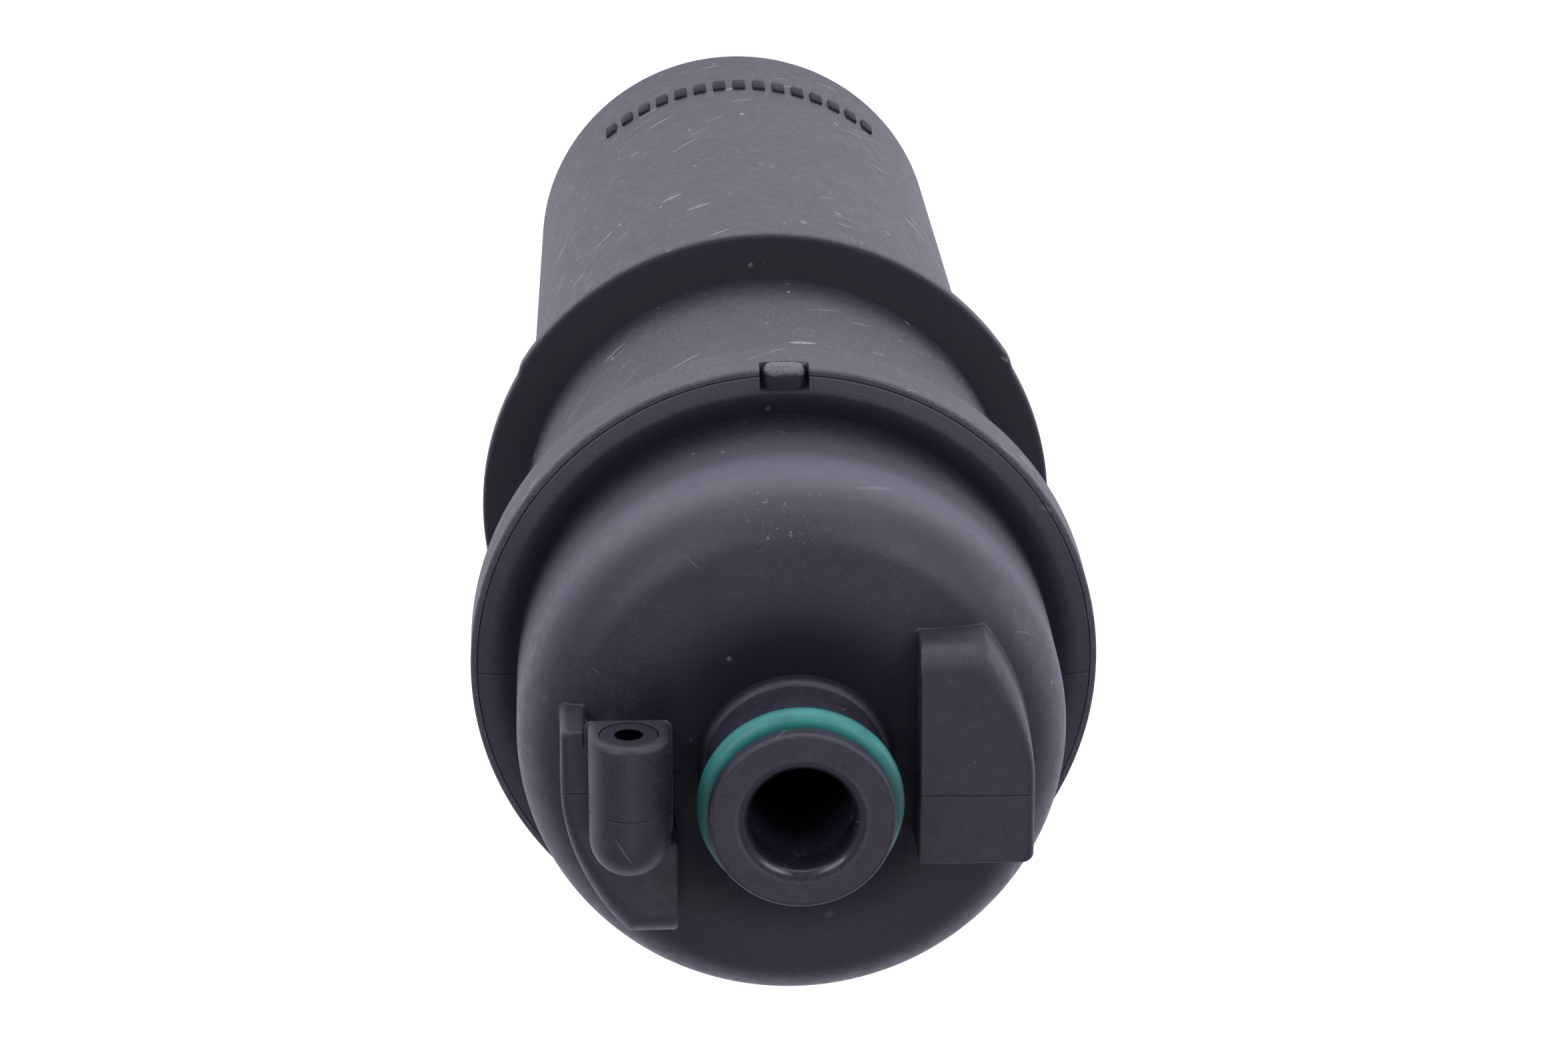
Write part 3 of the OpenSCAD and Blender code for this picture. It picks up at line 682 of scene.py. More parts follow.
def bored_insert(name, base):
    """Dark insert whose hole gets painted shade: black and without shine inside"""
    look = Look(name, base)
    parts = look.axis_parts(look.place)
    off_hole = look.off_axis(look.less(parts[0], BOSS_X), look.less(parts[2], BOSS_Z))
    # painted shade: black inside the hole
    inside = look.band(off_hole, *HOLE_SHADE_R)
    grain = look.noise(look.place, 3600, detail=3)
    spotted = look.mix(look.band(grain, 0.3, 0.7), base, shaded(base, 0.7))
    return look.coat(
        tone=look.mix(inside, spotted, HOLE_SHADE_TONE), rough=look.band(grain, 0.3, 0.7, 0.5, 0.64),
        shine=look.times(look.less(1.0, inside), 0.35), bumps=(grain, 0.5, 0.04 * MM))


def rubber(name, base, rough=0.42, level=0.5, painted_shade_below=False):
    """Moulded rubber; with painted shade below, it keeps its tone towards +Y and darkens towards -Y"""
    look = Look(name, base)
    clouds = look.noise(look.place, 420, detail=4)
    tone = look.mix(look.band(clouds, 0.35, 0.65), shaded(base, 0.8), base)
    if painted_shade_below:
        # painted shade: the ring darkens towards its lower side and keeps its tone on top, where the light
        # falls
        lit_top = look.band(look.axis_parts(look.place)[1], *RING_SHADE_Y)
        tone = look.mix(lit_top, shaded(base, 0.35), tone)
    fine = look.noise(look.place, 5200, detail=2)
    return look.coat(
        tone=tone, rough=look.band(clouds, 0.3, 0.7, rough, rough + 0.12), shine=level,
        bumps=(fine, 0.25, 0.02 * MM))


def felt(name, base):
    """Pressed fibre medium"""
    look = Look(name, base)
    drawn_out = look.stretch(look.place, (1, 1, 0.35))
    fibres = look.noise(drawn_out, 3000, detail=6, roughness=0.75, distortion=1.5)
    clouds = look.noise(look.place, 160, detail=3)
    amount = look.times(look.band(fibres, 0.3, 0.7), look.band(clouds, 0.2, 0.8, 0.5, 1.0))
    return look.coat(
        tone=look.mix(amount, shaded(base, 0.7), base), rough=0.9, shine=0.2,
        bumps=(fibres, 0.7, 0.08 * MM))


def resin(name, base):
    """Cast potting with waves on its face"""
    look = Look(name, base)
    waves = look.noise(look.place, 260, detail=3, distortion=0.6)
    return look.coat(
        tone=look.mix(look.band(waves, 0.3, 0.7), shaded(base, 0.6), base),
        rough=look.band(waves, 0.3, 0.7, 0.25, 0.4), bumps=(waves, 0.5, 0.15 * MM))


def spring_wire(name, base):
    """Drawn steel with faint stains"""
    look = Look(name, base)
    drawn = look.noise(look.stretch(look.place, (1, 1, 6)), 1500, detail=4)
    stain = look.noise(look.place, 240, detail=3)
    return look.coat(
        tone=look.mix(look.band(stain, 0.35, 0.7), base, shaded(base, 0.62)), metal=1.0,
        rough=look.band(drawn, 0.3, 0.7, 0.28, 0.45), bumps=(drawn, 0.3, 0.02 * MM))


def painted_floor(name, base, tint, glow):
    """Matt floor that light comes through"""
    look = Look(name, base)
    clouds = look.noise(look.place, 6, detail=3)
    return look.coat(
        tone=look.mix(clouds, shaded(base, 0.985), base), rough=0.85, shine=0.1,
        glow_tone=(*tint, 1), glow=glow)


FINISHES = {}


def finish(slot):
    """The material of a finish, made the first time it is asked for"""
    tones = bpy.context.scene.filter_finish
    makers = {
        "can_plastic": (moulded_plastic, tones.can, tones.can_dust, 1.0, tones.scuff, 1.0, 0.52, "can"),
        "cap_plastic": (moulded_plastic, tones.cap, tones.cap_dust_and_sheen, 0.8, tones.cap_scuff, 0.6, 0.44, "cap"),
        "green_rubber": (rubber, tones.ring, 0.42, 0.5, True),
        "black_rubber": (rubber, (0.018, 0.018, 0.019), 0.6),
        "element_plastic": (
            moulded_plastic, (0.045, 0.045, 0.05), (0.09, 0.09, 0.095), 0.6, (0.16, 0.16, 0.17), 0.2),
        "core_plastic": (moulded_plastic, (0.46, 0.45, 0.40), (0.6, 0.59, 0.55), 0.8, (0.72, 0.7, 0.66), 0.2),
        "filter_medium": (felt, (0.72, 0.67, 0.52)),
        "potting": (resin, (0.55, 0.44, 0.22)),
        "spring_steel": (spring_wire, (0.55, 0.55, 0.57)),
    }
    if slot not in FINISHES:
        maker, *looks = makers[slot]
        FINISHES[slot] = maker(slot, *looks)
    return FINISHES[slot]


# ---------------------------------------------------------------- canister


def notch_cutter(can, low, top, rounding):
    """Block that cuts the rim's notch, standing out past its side and its face"""
    half = can.notch_w / 2
    return block(
        "notch", (-half, can.notch_r, low), (half, can.notch_r + 5 * MM, top + 3 * MM), rounding)


def can_outline(size):
    """Outline of the canister's wall, from the port round the outside and back down the inside"""
    collar_r = CAN_HIGH.x
    lip_r = collar_r - size.collar_wall
    top = CAN_HIGH.z
    disc_back = size.disc_z - size.disc_t
    return round_corners([
        (size.port_r, 0, 0.4 * MM),
        (size.foot_r, 0, 1.8 * MM),
        (size.mid_r, disc_back, 0.4 * MM),
        (size.disc_r, disc_back, 0.6 * MM),
        (size.disc_r, size.disc_z, 0.5 * MM),
        (size.mid_r, size.disc_z, 0),
        (size.top_r, size.collar_z, 0.8 * MM),
        (collar_r, size.collar_z, 0.8 * MM),
        (collar_r, top, 0.35 * MM),
        (lip_r, top, 0.05 * MM),
        (lip_r, size.ledge_z, 0),
        (size.top_r - size.wall, size.ledge_z, 0.2 * MM),
        (size.mid_r - size.wall, size.disc_z, 0),
        (size.foot_r - size.wall + 0.2 * MM, size.floor, 1 * MM),
        (size.port_r + size.port_wall, size.floor, 0.6 * MM),
        (size.port_r + size.port_wall, size.port_top, 0.3 * MM),
        (size.port_r, size.port_top, 0.3 * MM),
    ], steps=6)


# How softly the disc's step begins, in radians round the axis
STEP_SOFTNESS = 0.015


class FILTER_OT_canister(bpy.types.Operator):
    """Turn the canister, step its disc and cut the notch in its rim"""
    bl_idname = "filter.canister"
    bl_label = "Canister"

    def execute(self, context):
        size = context.scene.filter_canister
        can = lathe("can_shell", can_outline(size), segments=288)
        self.step_disc(can, size)
        top = CAN_HIGH.z
        cut(can, notch_cutter(size, top - size.notch_depth + 0.3 * MM, top, 0.35 * MM))
        finish_piece(can, "can_plastic", "canister")
        return {"FINISHED"}

    def step_disc(self, can, size):
        """Push the disc's edge out over its upper sector"""
        low, high = size.disc_z - size.disc_t - 0.1 * MM, size.disc_z + 0.1 * MM
        for v in can.data.vertices:
            r = math.hypot(v.co.x, v.co.y)
            if low < v.co.z < high and r > size.disc_r - 1 * MM:
                off_top = abs(math.atan2(v.co.x, v.co.y))
                share = 0.5 - 0.5 * math.tanh((off_top - size.disc_step_angle) / STEP_SOFTNESS)
                wider = 1 + share * size.disc_step / r
                v.co.x *= wider
                v.co.y *= wider


def new_tree(name, inputs):
    """Nodes of a new Geometry Nodes tree with a geometry in and out, and its named inputs"""
    tree = bpy.data.node_groups.new(name, "GeometryNodeTree")
    tree.interface.new_socket("Geometry", in_out="INPUT", socket_type="NodeSocketGeometry")
    tree.interface.new_socket("Geometry", in_out="OUTPUT", socket_type="NodeSocketGeometry")
    for label, (kind, default) in inputs.items():
        socket = tree.interface.new_socket(label, in_out="INPUT", socket_type="NodeSocket" + kind)
        if default is not None:
            socket.default_value = default
    return Shader(tree), tree.nodes.new("NodeGroupInput").outputs


def close_tree(nodes, given, geometry):
    """Make what a tree repeats real, give it its material and hand it out"""
    real = nodes.add("GeometryNodeRealizeInstances", geometry)
    done = nodes.add("GeometryNodeSetMaterial", real, named={"Material": given["Material"]})
    nodes.join(done, nodes.tree.nodes.new("NodeGroupOutput").inputs[0])


def grow(name, tree, values):
    """Runs a Geometry Nodes tree on an empty mesh and returns the plain mesh piece it makes"""
    piece = bpy.data.objects.new(name, bpy.data.meshes.new(name))
    bpy.context.scene.collection.objects.link(piece)
    modifier = piece.modifiers.new(name, "NODES")
    modifier.node_group = tree
    for item in tree.interface.items_tree:
        if item.in_out == "INPUT" and item.name in values:
            modifier[item.identifier] = values[item.name]
    return bake(piece)


class FILTER_OT_raised_marks(bpy.types.Operator):
    """Set a row of plain raised bars round the far end of the can"""
    bl_idname = "filter.raised_marks"
    bl_label = "Raised marks"

    def execute(self, context):
        size = context.scene.filter_canister
        half = Vector((0.7, 0.35, 1.5)) * MM
        bar = block("mark_bar", -half, half, 0.18 * MM, steps=2)
        nodes, given = new_tree("raised_marks", {
            "Bar": ("Object", None), "Count": ("Int", 15), "Pitch": ("Float", 0.1), "Radius": ("Float", 0.02),
            "Height": ("Float", 0.01), "Material": ("Material", None)})
        index = nodes.add("GeometryNodeInputIndex")
        middle = nodes.times(nodes.less(given["Count"], 1.0), 0.5)
        turn = nodes.times(nodes.less(index, middle), given["Pitch"])
        x = nodes.times(nodes.math("SINE", turn), given["Radius"])
        y = nodes.times(nodes.math("COSINE", turn), given["Radius"])
        spot = nodes.add("ShaderNodeCombineXYZ", x, y, given["Height"])
        points = nodes.add("GeometryNodePoints", given["Count"], spot)
        facing = nodes.add("ShaderNodeCombineXYZ", 0.0, 0.0, nodes.times(turn, -1.0))
        source = nodes.add("GeometryNodeObjectInfo", given["Bar"], out="Geometry")
        bars = nodes.add("GeometryNodeInstanceOnPoints", points, named={
            "Instance": source, "Rotation": facing})
        close_tree(nodes, given, bars)
        # painted shade: the raised bars get a darker finish than the can
        painted_shade_bars = rubber("clean_marks", (0.006, 0.006, 0.010), rough=0.6, level=0.25)
        share = size.mark_z / (size.disc_z - size.disc_t)
        skin = size.foot_r + (size.mid_r - size.foot_r) * share
        marks = grow("raised_marks", nodes.tree, {
            "Bar": bar, "Count": size.mark_count, "Pitch": size.mark_pitch, "Radius": skin,
            "Height": size.mark_z, "Material": painted_shade_bars})
        bpy.data.objects.remove(bar, do_unlink=True)
        finish_piece(marks, "can_plastic", "canister", painted_shade_bars)
        return {"FINISHED"}


# ---------------------------------------------------------------- cap

# Places on the cap that only its inside shows: its seat on the ledge, the hollow under its dome, its skirt
SEAT_R, SEAT_T = 26.9 * MM, 1.8 * MM
HOLLOW_FACE_R, HOLLOW_FACE_DROP = 18 * MM, 3.5 * MM
HOLLOW_REACH, HOLLOW_RISE, HOLLOW_DROP, HOLLOW_END = 4.8 * MM, 7.8 * MM, 2 * MM, 84
SKIRT_GAP = 0.15 * MM


def shoulder_shape(size):
    """Reach, rise and end angle of the piece of ellipse that rounds the dome's shoulder over"""
    slope = 2 * size.crown_fall / (size.crown_r - size.neck_collar_r)
    run, rise = size.dome_r - size.crown_r, size.dome_z - size.crown_fall - size.shoulder_z
    lean = slope * run / rise
    end = math.acos(lean / (1 - lean))
    return run / (1 - math.cos(end)), rise / math.sin(end), math.degrees(end)


def dome_face(size, r):
    """Height of the dome's outside at a distance from the axis"""
    if r > size.crown_r:
        reach, rise, _ = shoulder_shape(size)
        share = min(1.0, (r - size.dome_r + reach) / reach)
        return size.shoulder_z + rise * math.sqrt(1 - share * share)
    out = (r - size.neck_collar_r) / (size.crown_r - size.neck_collar_r)
    return size.dome_z - size.crown_fall * out * abs(out)


def cap_outline(size, can):
    """Outline of the cap, from its foot over the dome to the nozzle, down the bore and back inside"""
    rim_r = CAN_HIGH.x - can.collar_wall - size.rim_gap
    tip = CAP_HIGH.z
    groove_r = RING_HIGH.x - (RING_HIGH.z - RING_LOW.z)
    outside = round_corners([
        (SEAT_R, can.ledge_z), (rim_r, can.ledge_z),
        (rim_r, size.rim_z - can.lip_drop + 0.1 * MM, size.rim_edge),
        (rim_r - size.rim_reach, size.rim_z, 1.2 * MM), (size.dome_r, size.rim_z, size.dome_fillet),
        (size.dome_r, size.shoulder_z - 1 * MM)], steps=8)
    reach, rise, end = shoulder_shape(size)
    shoulder = arc((size.dome_r - reach, size.shoulder_z), reach, rise, 0, end, 32)
    steps = np.linspace(size.crown_r, size.neck_collar_r, 24)[1:-1]
    crown = [(r, dome_face(size, r)) for r in steps]
    neck_edge = arc((size.nozzle_r, size.neck_collar_z - size.neck_collar_round),
                    size.neck_collar_r - size.nozzle_r, size.neck_collar_round, 0, 90, 8)
    nozzle = round_corners([
        crown[-1], (size.neck_collar_r, size.dome_z, 0.03 * MM), *neck_edge,
        (size.nozzle_r, size.groove_low, 0.2 * MM), (groove_r, size.groove_low, 0.1 * MM),
        (groove_r, size.groove_high, 0.1 * MM), (size.nozzle_r, size.groove_high, 0.2 * MM),
        (size.nozzle_r, tip, 0.5 * MM), (size.bore_r, tip, size.bore_round),
        (size.bore_r, size.spigot_z, 0.2 * MM), (size.spigot_r, size.spigot_z, 0.2 * MM),
        (size.spigot_r, size.dome_z - size.wall, 0.5 * MM),
        (HOLLOW_FACE_R, size.dome_z - HOLLOW_FACE_DROP)], steps=8)
    hollow_r = size.dome_r - size.wall
    hollow = arc((hollow_r - HOLLOW_REACH, size.shoulder_z - HOLLOW_DROP),
                 HOLLOW_REACH, HOLLOW_RISE, HOLLOW_END, 0, 16)
    skirt_r = can.top_r - can.wall - SKIRT_GAP
    inside = [(hollow_r, size.rim_z), (skirt_r - size.skirt_wall, size.rim_z - 3 * MM),
              (skirt_r - size.skirt_wall, size.skirt_z), (skirt_r, size.skirt_z),
              (skirt_r, can.ledge_z + SEAT_T), (SEAT_R, can.ledge_z + SEAT_T)]
    return np.vstack([outside, shoulder, crown, nozzle[1:-1], hollow, inside])


class FILTER_OT_nozzle_cap(bpy.types.Operator):
    """Turn the dome and nozzle, and set the key tab in its notch"""
    bl_idname = "filter.nozzle_cap"
    bl_label = "Nozzle cap"

    def execute(self, context):
        size, can = context.scene.filter_cap, context.scene.filter_canister
        dome = lathe("cap_dome", cap_outline(size, can), segments=288, sharp=30)
        cut(dome, notch_cutter(can, size.rim_z - can.notch_depth, size.rim_z, 0.3 * MM), sharp=30)
        finish_piece(dome, "cap_plastic", "nozzle_cap")
        tab_top = size.rim_z - 0.5 * MM
        tab = block("key_tab", (-size.tab_w / 2, can.notch_r - 1 * MM, tab_top - can.notch_depth),
                    (size.tab_w / 2, CAP_HIGH.y, tab_top), 0.8 * MM, steps=6)
        tones = context.scene.filter_finish
        pale = worn_tab("worn_tab", tones.cap, tones.tab)
        finish_piece(tab, "cap_plastic", "nozzle_cap", pale)
        return {"FINISHED"}


# ---------------------------------------------------------------- lugs

# Steps along a lug's round side, and the roundings of its outline's corners
ROUND_STEPS = 24
CORNER, RELIEF_CORNER, FLAT_CORNER, ROLLED_CORNER = 0.3 * MM, 0.2 * MM, 0.7 * MM, 2.2 * MM


def inset(depth, radius):
    """How far a rounded edge has drawn in at a depth below the face"""
    if depth >= radius:
        return 0.0
    return radius - math.sqrt(radius * radius - (radius - depth) ** 2)


def lug_row(size, end, step, depth, spread):
    """One row of points round a lug: depth is below its face, spread is the flare at its foot.

    The rounding of its outer edge grows from the flat side towards the rolled end.
    """
    crisp, side, rolled = (inset(depth, r) for r in (size.crisp, size.side_round, size.end_round))
    drawn_in = crisp - spread
    inner = size.inner_x + drawn_in
    out_x = size.outer_r - side + spread
    far = end - rolled + spread
    corners = [(inner, far, CORNER)]
    if step:
        rib_x = size.outer_r - size.rib_w + drawn_in
        flat = drawn_in - size.rib_end
        relief_x, relief_y = inner + size.relief_x, size.relief_y + drawn_in
        pocket_y = drawn_in - size.pocket_y
        corners += [(inner, relief_y, RELIEF_CORNER), (relief_x, relief_y, RELIEF_CORNER)]
        corners += [(relief_x, pocket_y, CORNER), (rib_x, pocket_y, CORNER), (rib_x, flat, CORNER)]
    else:
        flat = drawn_in - size.flat_y
        corners += [(inner, flat, CORNER)]
    corners += [(out_x, flat, FLAT_CORNER), (out_x, 0, 0)]
    corner_r = size.outer_r - rolled + spread
    last = math.asin(far / corner_r)
    for k in range(1, ROUND_STEPS):
        share = k / ROUND_STEPS
        blend = share * share * (3 - 2 * share)
        r = size.outer_r - (1 - blend) * side - blend * rolled + spread
        corners.append((r * math.cos(share * last), r * math.sin(share * last), 0))
    corners.append((corner_r * math.cos(last), far, ROLLED_CORNER))
    return round_corners(corners, steps=6)


def lug_mesh(name, size, cap, end, step=False, turned=False):
    """Lug that stands on the dome: flared foot, straight sides and rounded face"""
    sunk = lug_row(size, end, step, 1.0, size.flare)
    rows = [[(x, y, dome_face(cap, math.hypot(x, y)) - 1 * MM) for x, y in sunk]]
    for share in (0.0, 0.12, 0.3, 0.55, 1.0):
        rise = size.flare * share
        spread = size.flare - math.sqrt(max(0.0, size.flare ** 2 - (size.flare - rise) ** 2))
        row = lug_row(size, end, step, 1.0, spread)
        rows.append([(x, y, dome_face(cap, math.hypot(x, y)) + rise) for x, y in row])
    depth = size.end_round
    while depth > 0.01 * MM:
        rows.append([(x, y, size.top_z - depth) for x, y in lug_row(size, end, step, depth, 0.0)])
        depth *= 0.76
    # a second row inside the face's edge keeps the face flat when it is shaded smooth
    for spread in (0.0, -0.04 * MM):
        rows.append([(x, y, size.top_z) for x, y in lug_row(size, end, step, 0.0, spread)])
    columns = len(rows[0])
    points = [p for row in rows for p in row]
    faces = grid_faces(len(rows), columns)
    faces += [tuple(range(columns)), tuple(range(len(points) - columns, len(points)))]
    if turned:
        points = [(-x, -y, z) for x, y, z in points]
    return make_object(name, points, faces, sharp=40)


def boss_section(size, radius, y, heading):
    """Points from the boss's foot over its front to its crown, for a path that heads along an angle"""
    flare = size.boss_flare
    column = [(radius + flare, size.top_z - 0.2 * MM)]
    for k in range(5):
        t = math.radians(90 * (1 - k / 4))
        column.append((radius + flare * (1 - math.cos(t)), size.top_z + flare * (1 - math.sin(t))))
    for k in range(13):
        t = math.radians(90 * k / 12)
        column.append((radius * math.cos(t), BOSS_Z + radius * math.sin(t)))
    return [(BOSS_X + w * math.cos(heading), y + w * math.sin(heading), z) for w, z in column]


def boss_mesh(size):
    """Boss that lies along the lug: round front, ball end, flat end and a flared foot"""
    end_round = 0.7 * MM
    columns = [boss_section(size, size.boss_r - end_round - 0.04 * MM, BOSS_TOP, 0.0)]
    for k in range(7):
        t = math.radians(90 * (1 - k / 6))
        radius = size.boss_r - end_round * (1 - math.cos(t))
        columns.append(boss_section(size, radius, BOSS_TOP - end_round * (1 - math.sin(t)), 0.0))
    stretches = 8
    for k in range(1, stretches + 1):
        y = BOSS_TOP - end_round + (size.boss_foot - BOSS_TOP + end_round) * k / stretches
        columns.append(boss_section(size, size.boss_r, y, 0.0))
    straight = len(columns)
    for k in range(1, 24):
        columns.append(boss_section(size, size.boss_r, size.boss_foot, -math.pi * k / 24))
    mirrored = [[(2 * BOSS_X - x, y, z) for x, y, z in column] for column in columns[:straight]]
    columns += mirrored[::-1]
    high = len(columns[0])
    points = [p for column in columns for p in column]
    faces = grid_faces(len(columns), high, wrap_columns=False)
    last = (len(columns) - 1) * high
    faces.append(tuple(range(high)) + tuple(last + k for k in reversed(range(high))))
    faces.append(tuple(i * high for i in range(len(columns))))
    return make_object("lug_boss", points, faces, sharp=35)


class FILTER_OT_lugs(bpy.types.Operator):
    """Raise the plain lug, and the second lug with its cross-drilled boss"""
    bl_idname = "filter.lugs"
    bl_label = "Lugs"

    def execute(self, context):
        size, cap = context.scene.filter_lugs, context.scene.filter_cap
        plain = lug_mesh("plain_lug", size, cap, size.plain_end)
        finish_piece(plain, "cap_plastic", "nozzle_cap")
        carrier = lug_mesh("boss_lug", size, cap, size.boss_end, step=True, turned=True)
        finish_piece(carrier, "cap_plastic", "nozzle_cap")
        boss = boss_mesh(size)
        seat_r = (INSERT_HIGH.x - INSERT_LOW.x) / 2 + 0.07 * MM
        drill = cylinder_between("drill", (BOSS_X, INSERT_LOW.y - 0.05 * MM, BOSS_Z),
                                 (BOSS_X, BOSS_TOP + 2 * MM, BOSS_Z), seat_r, 64)
        cut(boss, drill)
        finish_piece(boss, "cap_plastic", "nozzle_cap")
        return {"FINISHED"}


class FILTER_OT_boss_insert(bpy.types.Operator):
    """Press the drilled insert into the boss"""
    bl_idname = "filter.boss_insert"
    bl_label = "Boss insert"

    def execute(self, context):
        size = context.scene.filter_lugs
        outer = (INSERT_HIGH.x - INSERT_LOW.x) / 2
        tall = INSERT_HIGH.y - INSERT_LOW.y
        mouth, bottom = tall - 0.06 * MM, tall - size.hole_depth
        outline = round_corners([
            (0, 0), (outer, 0, 0.2 * MM), (outer, mouth, 0.12 * MM), (size.hole_r, mouth, 0.12 * MM),
            (size.hole_r, bottom), (0, bottom)], steps=4)
        insert = lathe("drilled_insert", outline, segments=72, sharp=30)
        # stand the turned piece in the boss, with its mouth towards +Y
        place = Matrix.Translation((BOSS_X, INSERT_LOW.y, BOSS_Z)) @ Matrix.Rotation(-math.pi / 2, 4, "X")
        insert.data.transform(place)
        dark = bored_insert("bored_insert", context.scene.filter_finish.cap)
        finish_piece(insert, "cap_plastic", "boss_insert", dark)
        return {"FINISHED"}


class FILTER_OT_o_ring(bpy.types.Operator):
    """Put the green O-ring in its groove, with the fine flash line of its mould"""
    bl_idname = "filter.o_ring"
    bl_label = "O-ring"

    def execute(self, context):
        thick = (RING_HIGH.z - RING_LOW.z) / 2
        middle_r, middle_z = RING_HIGH.x - thick, (RING_HIGH.z + RING_LOW.z) / 2
        outline = []
        steps = 40
        for k in range(steps):
            t = 2 * math.pi * k / steps
            r = thick - 0.012 * MM * (1 - abs(math.cos(t)) ** 40)
            outline.append((middle_r + r * math.cos(t), middle_z + r * math.sin(t)))
        ring = lathe("green_o_ring", outline, segments=160, sharp=60)
        finish_piece(ring, "green_rubber", "nozzle_o_ring")
        return {"FINISHED"}


# ---------------------------------------------------------------- element

# Points round each fold and up the medium, and how sharp a fold is, short of 1
FOLD_STEPS, LEVELS = 16, 12
FOLD_SHARPNESS = 0.97


class FILTER_OT_pleats(bpy.types.Operator):
    """Fold the pleated medium round its core"""
    bl_idname = "filter.pleats"
    bl_label = "Pleats"

    def execute(self, context):
        size = context.scene.filter_element
        nodes, given = new_tree("pleated_medium", {
            "Pleats": ("Int", 44), "Outer radius": ("Float", 0.02), "Inner radius": ("Float", 0.012),
            "Thickness": ("Float", 0.0005), "Low": ("Float", 0.0), "High": ("Float", 0.1),
            "Material": ("Material", None)})
        outer, inner, thick = (given[k] for k in ("Outer radius", "Inner radius", "Thickness"))
        around = nodes.times(given["Pleats"], float(FOLD_STEPS))
        up = LEVELS
        sheet = nodes.add("GeometryNodeMeshGrid", 1.0, 1.0, around, up)
        # walk round the folds: a rounded zigzag between the inner and the outer radius
        index = nodes.add("GeometryNodeInputIndex")
        step = nodes.math("FLOOR", nodes.over(nodes.plus(index, 0.5), float(up)))
        level = nodes.less(index, nodes.times(step, float(up)))
        turn = nodes.times(nodes.over(step, around), 2 * math.pi)
        wave = nodes.math("COSINE", nodes.times(turn, given["Pleats"]))
        bent = nodes.over(nodes.math("ARCSINE", nodes.times(wave, FOLD_SHARPNESS)), math.asin(FOLD_SHARPNESS))
        half = nodes.times(nodes.less(nodes.less(outer, inner), thick), 0.5)
        middle = nodes.times(nodes.plus(outer, inner), 0.5)
        radius = nodes.plus(middle, nodes.times(bent, half))
        share = nodes.over(level, float(up - 1))
        tall = nodes.less(given["High"], given["Low"])
        z = nodes.plus(given["Low"], nodes.times(share, tall))
        x = nodes.times(radius, nodes.math("COSINE", turn))
        y = nodes.times(radius, nodes.math("SINE", turn))
        place = nodes.add("ShaderNodeCombineXYZ", x, y, z)
        folded = nodes.add("GeometryNodeSetPosition", sheet, named={"Position": place})
        close_tree(nodes, given, folded)
        pleats = grow("pleated_medium", nodes.tree, {
            "Pleats": size.pleat_count, "Outer radius": PLEATS_HIGH.x, "Inner radius": size.pleat_inner_r,
            "Thickness": size.medium_t, "Low": PLEATS_LOW.z, "High": PLEATS_HIGH.z,
            "Material": finish("filter_medium")})
        self.close_seam(pleats, size.pleat_count * FOLD_STEPS, up)
        thicken = pleats.modifiers.new("thickness", "SOLIDIFY")
        thicken.thickness = size.medium_t
        thicken.offset = 0
        bake(pleats)
        shade(pleats, 50)
        finish_piece(pleats, "filter_medium", "filter_pleats")
        return {"FINISHED"}

    def close_seam(self, pleats, around, up):
        """Join the last fold to the first"""
        work = bmesh.new()
        work.from_mesh(pleats.data)
        work.verts.ensure_lookup_table()
        last = (around - 1) * up
        for k in range(up - 1):
            work.faces.new([work.verts[i] for i in (last + k, last + k + 1, k + 1, k)])
        bmesh.ops.recalc_face_normals(work, faces=work.faces)
        work.to_mesh(pleats.data)
        work.free()


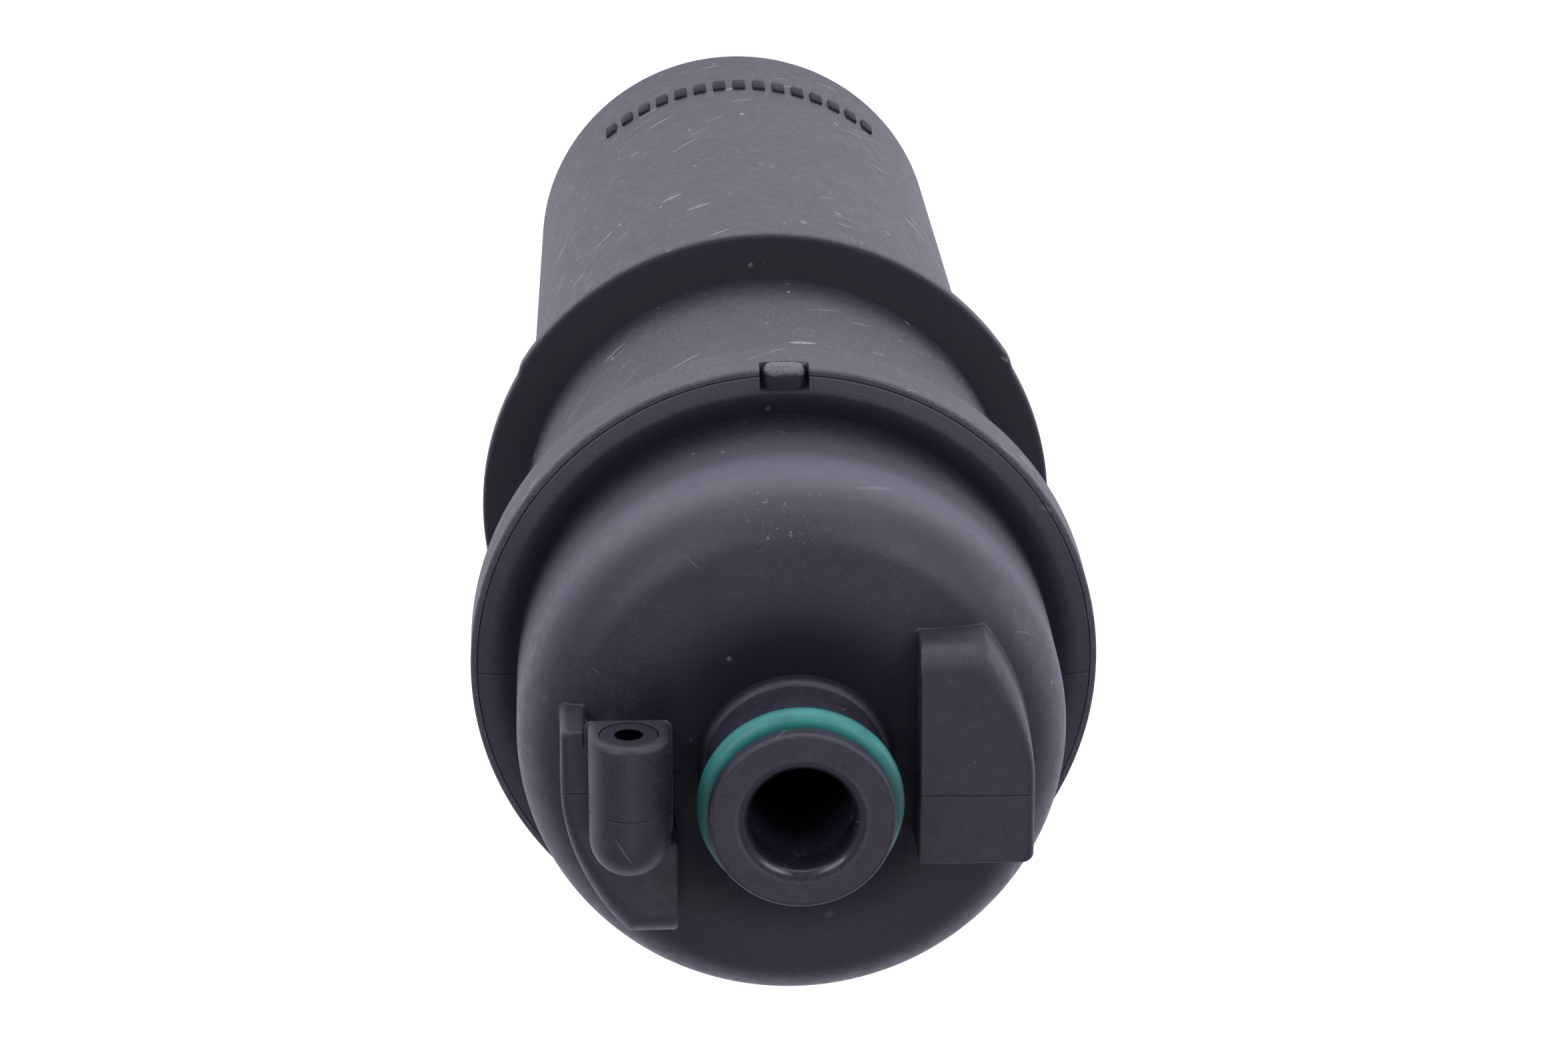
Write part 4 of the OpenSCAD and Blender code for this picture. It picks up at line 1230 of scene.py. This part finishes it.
class FILTER_OT_coil(bpy.types.Operator):
    """Wind the spring under the element, and the bypass valve's spring, which in the filter shortens as its
    poppet lifts; here it is wound once at its part's length
    """
    bl_idname = "filter.coil"
    bl_label = "Springs"

    def execute(self, context):
        size = context.scene.filter_element
        nodes, given = new_tree("wound_coil", {
            "Turns": ("Float", 5.0), "Radius": ("Float", 0.01), "Wire": ("Float", 0.001),
            "Low": ("Float", 0.0), "High": ("Float", 0.01), "Material": ("Material", None)})
        wire = nodes.times(given["Wire"], 0.5)
        rise = nodes.less(nodes.less(given["High"], given["Low"]), given["Wire"])
        line = nodes.add("GeometryNodeCurvePrimitiveLine", (0, 0, 0), (1, 0, 0))
        path = nodes.add("GeometryNodeResampleCurve", named={"Curve": line, "Count": 240})
        share = nodes.add("GeometryNodeSplineParameter")
        turn = nodes.times(nodes.times(share, given["Turns"]), 2 * math.pi)
        # the end turns are wound close, so the rise is gentler there
        climb = nodes.plus(nodes.times(nodes.band(share, 0.0, 1.0), 0.6), nodes.times(share, 0.4))
        z = nodes.plus(nodes.plus(given["Low"], wire), nodes.times(climb, rise))
        x = nodes.times(given["Radius"], nodes.math("COSINE", turn))
        y = nodes.times(given["Radius"], nodes.math("SINE", turn))
        place = nodes.add("ShaderNodeCombineXYZ", x, y, z)
        wound = nodes.add("GeometryNodeSetPosition", path, named={"Position": place})
        section = nodes.add("GeometryNodeCurvePrimitiveCircle", 14, named={"Radius": wire})
        tube = nodes.add("GeometryNodeCurveToMesh", wound, section, named={"Fill Caps": True})
        close_tree(nodes, given, tube)
        steel = finish("spring_steel")
        coil = grow("wound_spring", nodes.tree, {
            "Turns": size.coil_turns, "Radius": COIL_HIGH.x - size.coil_wire / 2, "Wire": size.coil_wire,
            "Low": COIL_LOW.z, "High": COIL_HIGH.z, "Material": steel})
        shade(coil, 60)
        finish_piece(coil, "spring_steel", "element_spring")
        valve = grow("bypass_coil", nodes.tree, {
            "Turns": size.bypass_turns, "Radius": BYPASS_HIGH.x - size.bypass_wire / 2,
            "Wire": size.bypass_wire, "Low": BYPASS_LOW.z, "High": BYPASS_HIGH.z, "Material": steel})
        shade(valve, 60)
        paint(valve, steel)
        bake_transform(valve)
        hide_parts("bypass_spring")
        return {"FINISHED"}


class FILTER_OT_inner_finishes(bpy.types.Operator):
    """Give every remaining piece of the packed model its finish"""
    bl_idname = "filter.inner_finishes"
    bl_label = "Inner finishes"

    def execute(self, context):
        slots = {row["node"]: row["material_slot"] for row in frame["record"]["subparts"]}
        for name, node in frame["nodes"].items():
            material = finish(slots[name])
            if not node.material_slots:
                node.data.materials.append(material)
            for slot in node.material_slots:
                slot.material = material
        return {"FINISHED"}


# ---------------------------------------------------------------- stage


def aim(thing, target, up=Vector((0, 1, 0))):
    """Turn a camera or light at a point, with its own top towards a direction"""
    forward = (Vector(target) - thing.location).normalized()
    right = forward.cross(up).normalized()
    top = right.cross(forward)
    thing.rotation_mode = "QUATERNION"
    thing.rotation_quaternion = Matrix((right, top, -forward)).transposed().to_quaternion()


def soft_light(name, place, target, width, height, power):
    data = bpy.data.lights.new(name, "AREA")
    data.shape = "RECTANGLE"
    data.size, data.size_y, data.energy = width, height, power
    light = bpy.data.objects.new(name, data)
    light.location = place
    bpy.context.scene.collection.objects.link(light)
    aim(light, target, up=Vector((0, 0, 1)))
    return light


class FILTER_OT_stage(bpy.types.Operator):
    """Lay the pale floor and set the soft lights and the camera"""
    bl_idname = "filter.stage"
    bl_label = "Stage"

    def execute(self, context):
        scene, stage = context.scene, context.scene.filter_stage
        scene.view_settings.view_transform = "Standard"
        half = 2.5
        corners = [(-half, -half, 0), (half, -half, 0), (half, half, 0), (-half, half, 0)]
        floor = make_object("floor", corners, [(0, 1, 2, 3)])
        paint(floor, painted_floor("floor_paint", stage.floor, stage.tint, stage.floor_glow))
        world = bpy.data.worlds.new("studio")
        world.use_nodes = True
        sky = world.node_tree.nodes["Background"]
        sky.inputs[0].default_value = (*stage.tint, 1)
        sky.inputs[1].default_value = stage.room
        scene.world = world
        middle = (0, 0, 0.09)
        soft_light("top_light", (0.02, 0.62, 0.16), middle, 0.9, 0.34, stage.top_power)
        soft_light("left_box", (-0.5, 0.5, 0.7), middle, 0.45, 0.45, stage.box_power)
        soft_light("right_box", (0.5, 0.5, 0.7), middle, 0.45, 0.45, stage.box_power)
        soft_light("front_light", (0.05, -0.35, 1.0), middle, 0.5, 0.35, stage.front_power)
        soft_light("low_light", (0.5, 0.12, 0.03), (0, 0, 0.05), 0.15, 0.3, stage.low_power)
        data = bpy.data.cameras.new("camera")
        data.lens, data.sensor_width, data.clip_start = stage.lens, 36, 0.01
        camera = bpy.data.objects.new("camera", data)
        camera.location = stage.camera_at
        scene.collection.objects.link(camera)
        aim(camera, stage.camera_aim)
        scene.camera = camera
        return {"FINISHED"}


OPERATORS = (
    FILTER_OT_stage, FILTER_OT_canister, FILTER_OT_raised_marks, FILTER_OT_nozzle_cap, FILTER_OT_lugs,
    FILTER_OT_boss_insert, FILTER_OT_o_ring, FILTER_OT_pleats, FILTER_OT_coil, FILTER_OT_inner_finishes)


class FILTER_PT_panel(bpy.types.Panel):
    """Lists the steps that build the filter"""
    bl_idname = "FILTER_PT_panel"
    bl_label = "Oil Filter"
    bl_space_type = "VIEW_3D"
    bl_region_type = "UI"
    bl_category = "Oil Filter"

    def draw(self, context):
        for operator in OPERATORS:
            self.layout.operator(operator.bl_idname)
        for name, group in GROUPS.items():
            box = self.layout.box()
            box.label(text=group.__doc__)
            for field in group.__annotations__:
                box.prop(getattr(context.scene, name), field)


def register():
    for name, group in GROUPS.items():
        bpy.utils.register_class(group)
        setattr(bpy.types.Scene, name, bpy.props.PointerProperty(type=group))
    for cls in (*OPERATORS, FILTER_PT_panel):
        bpy.utils.register_class(cls)


def unregister():
    for cls in reversed((*OPERATORS, FILTER_PT_panel)):
        bpy.utils.unregister_class(cls)
    for name, group in GROUPS.items():
        delattr(bpy.types.Scene, name)
        bpy.utils.unregister_class(group)


def main():
    register()
    for operator in OPERATORS:
        group, action = operator.bl_idname.split(".")
        getattr(getattr(bpy.ops, group), action)()


if __name__ == "__main__":
    main()
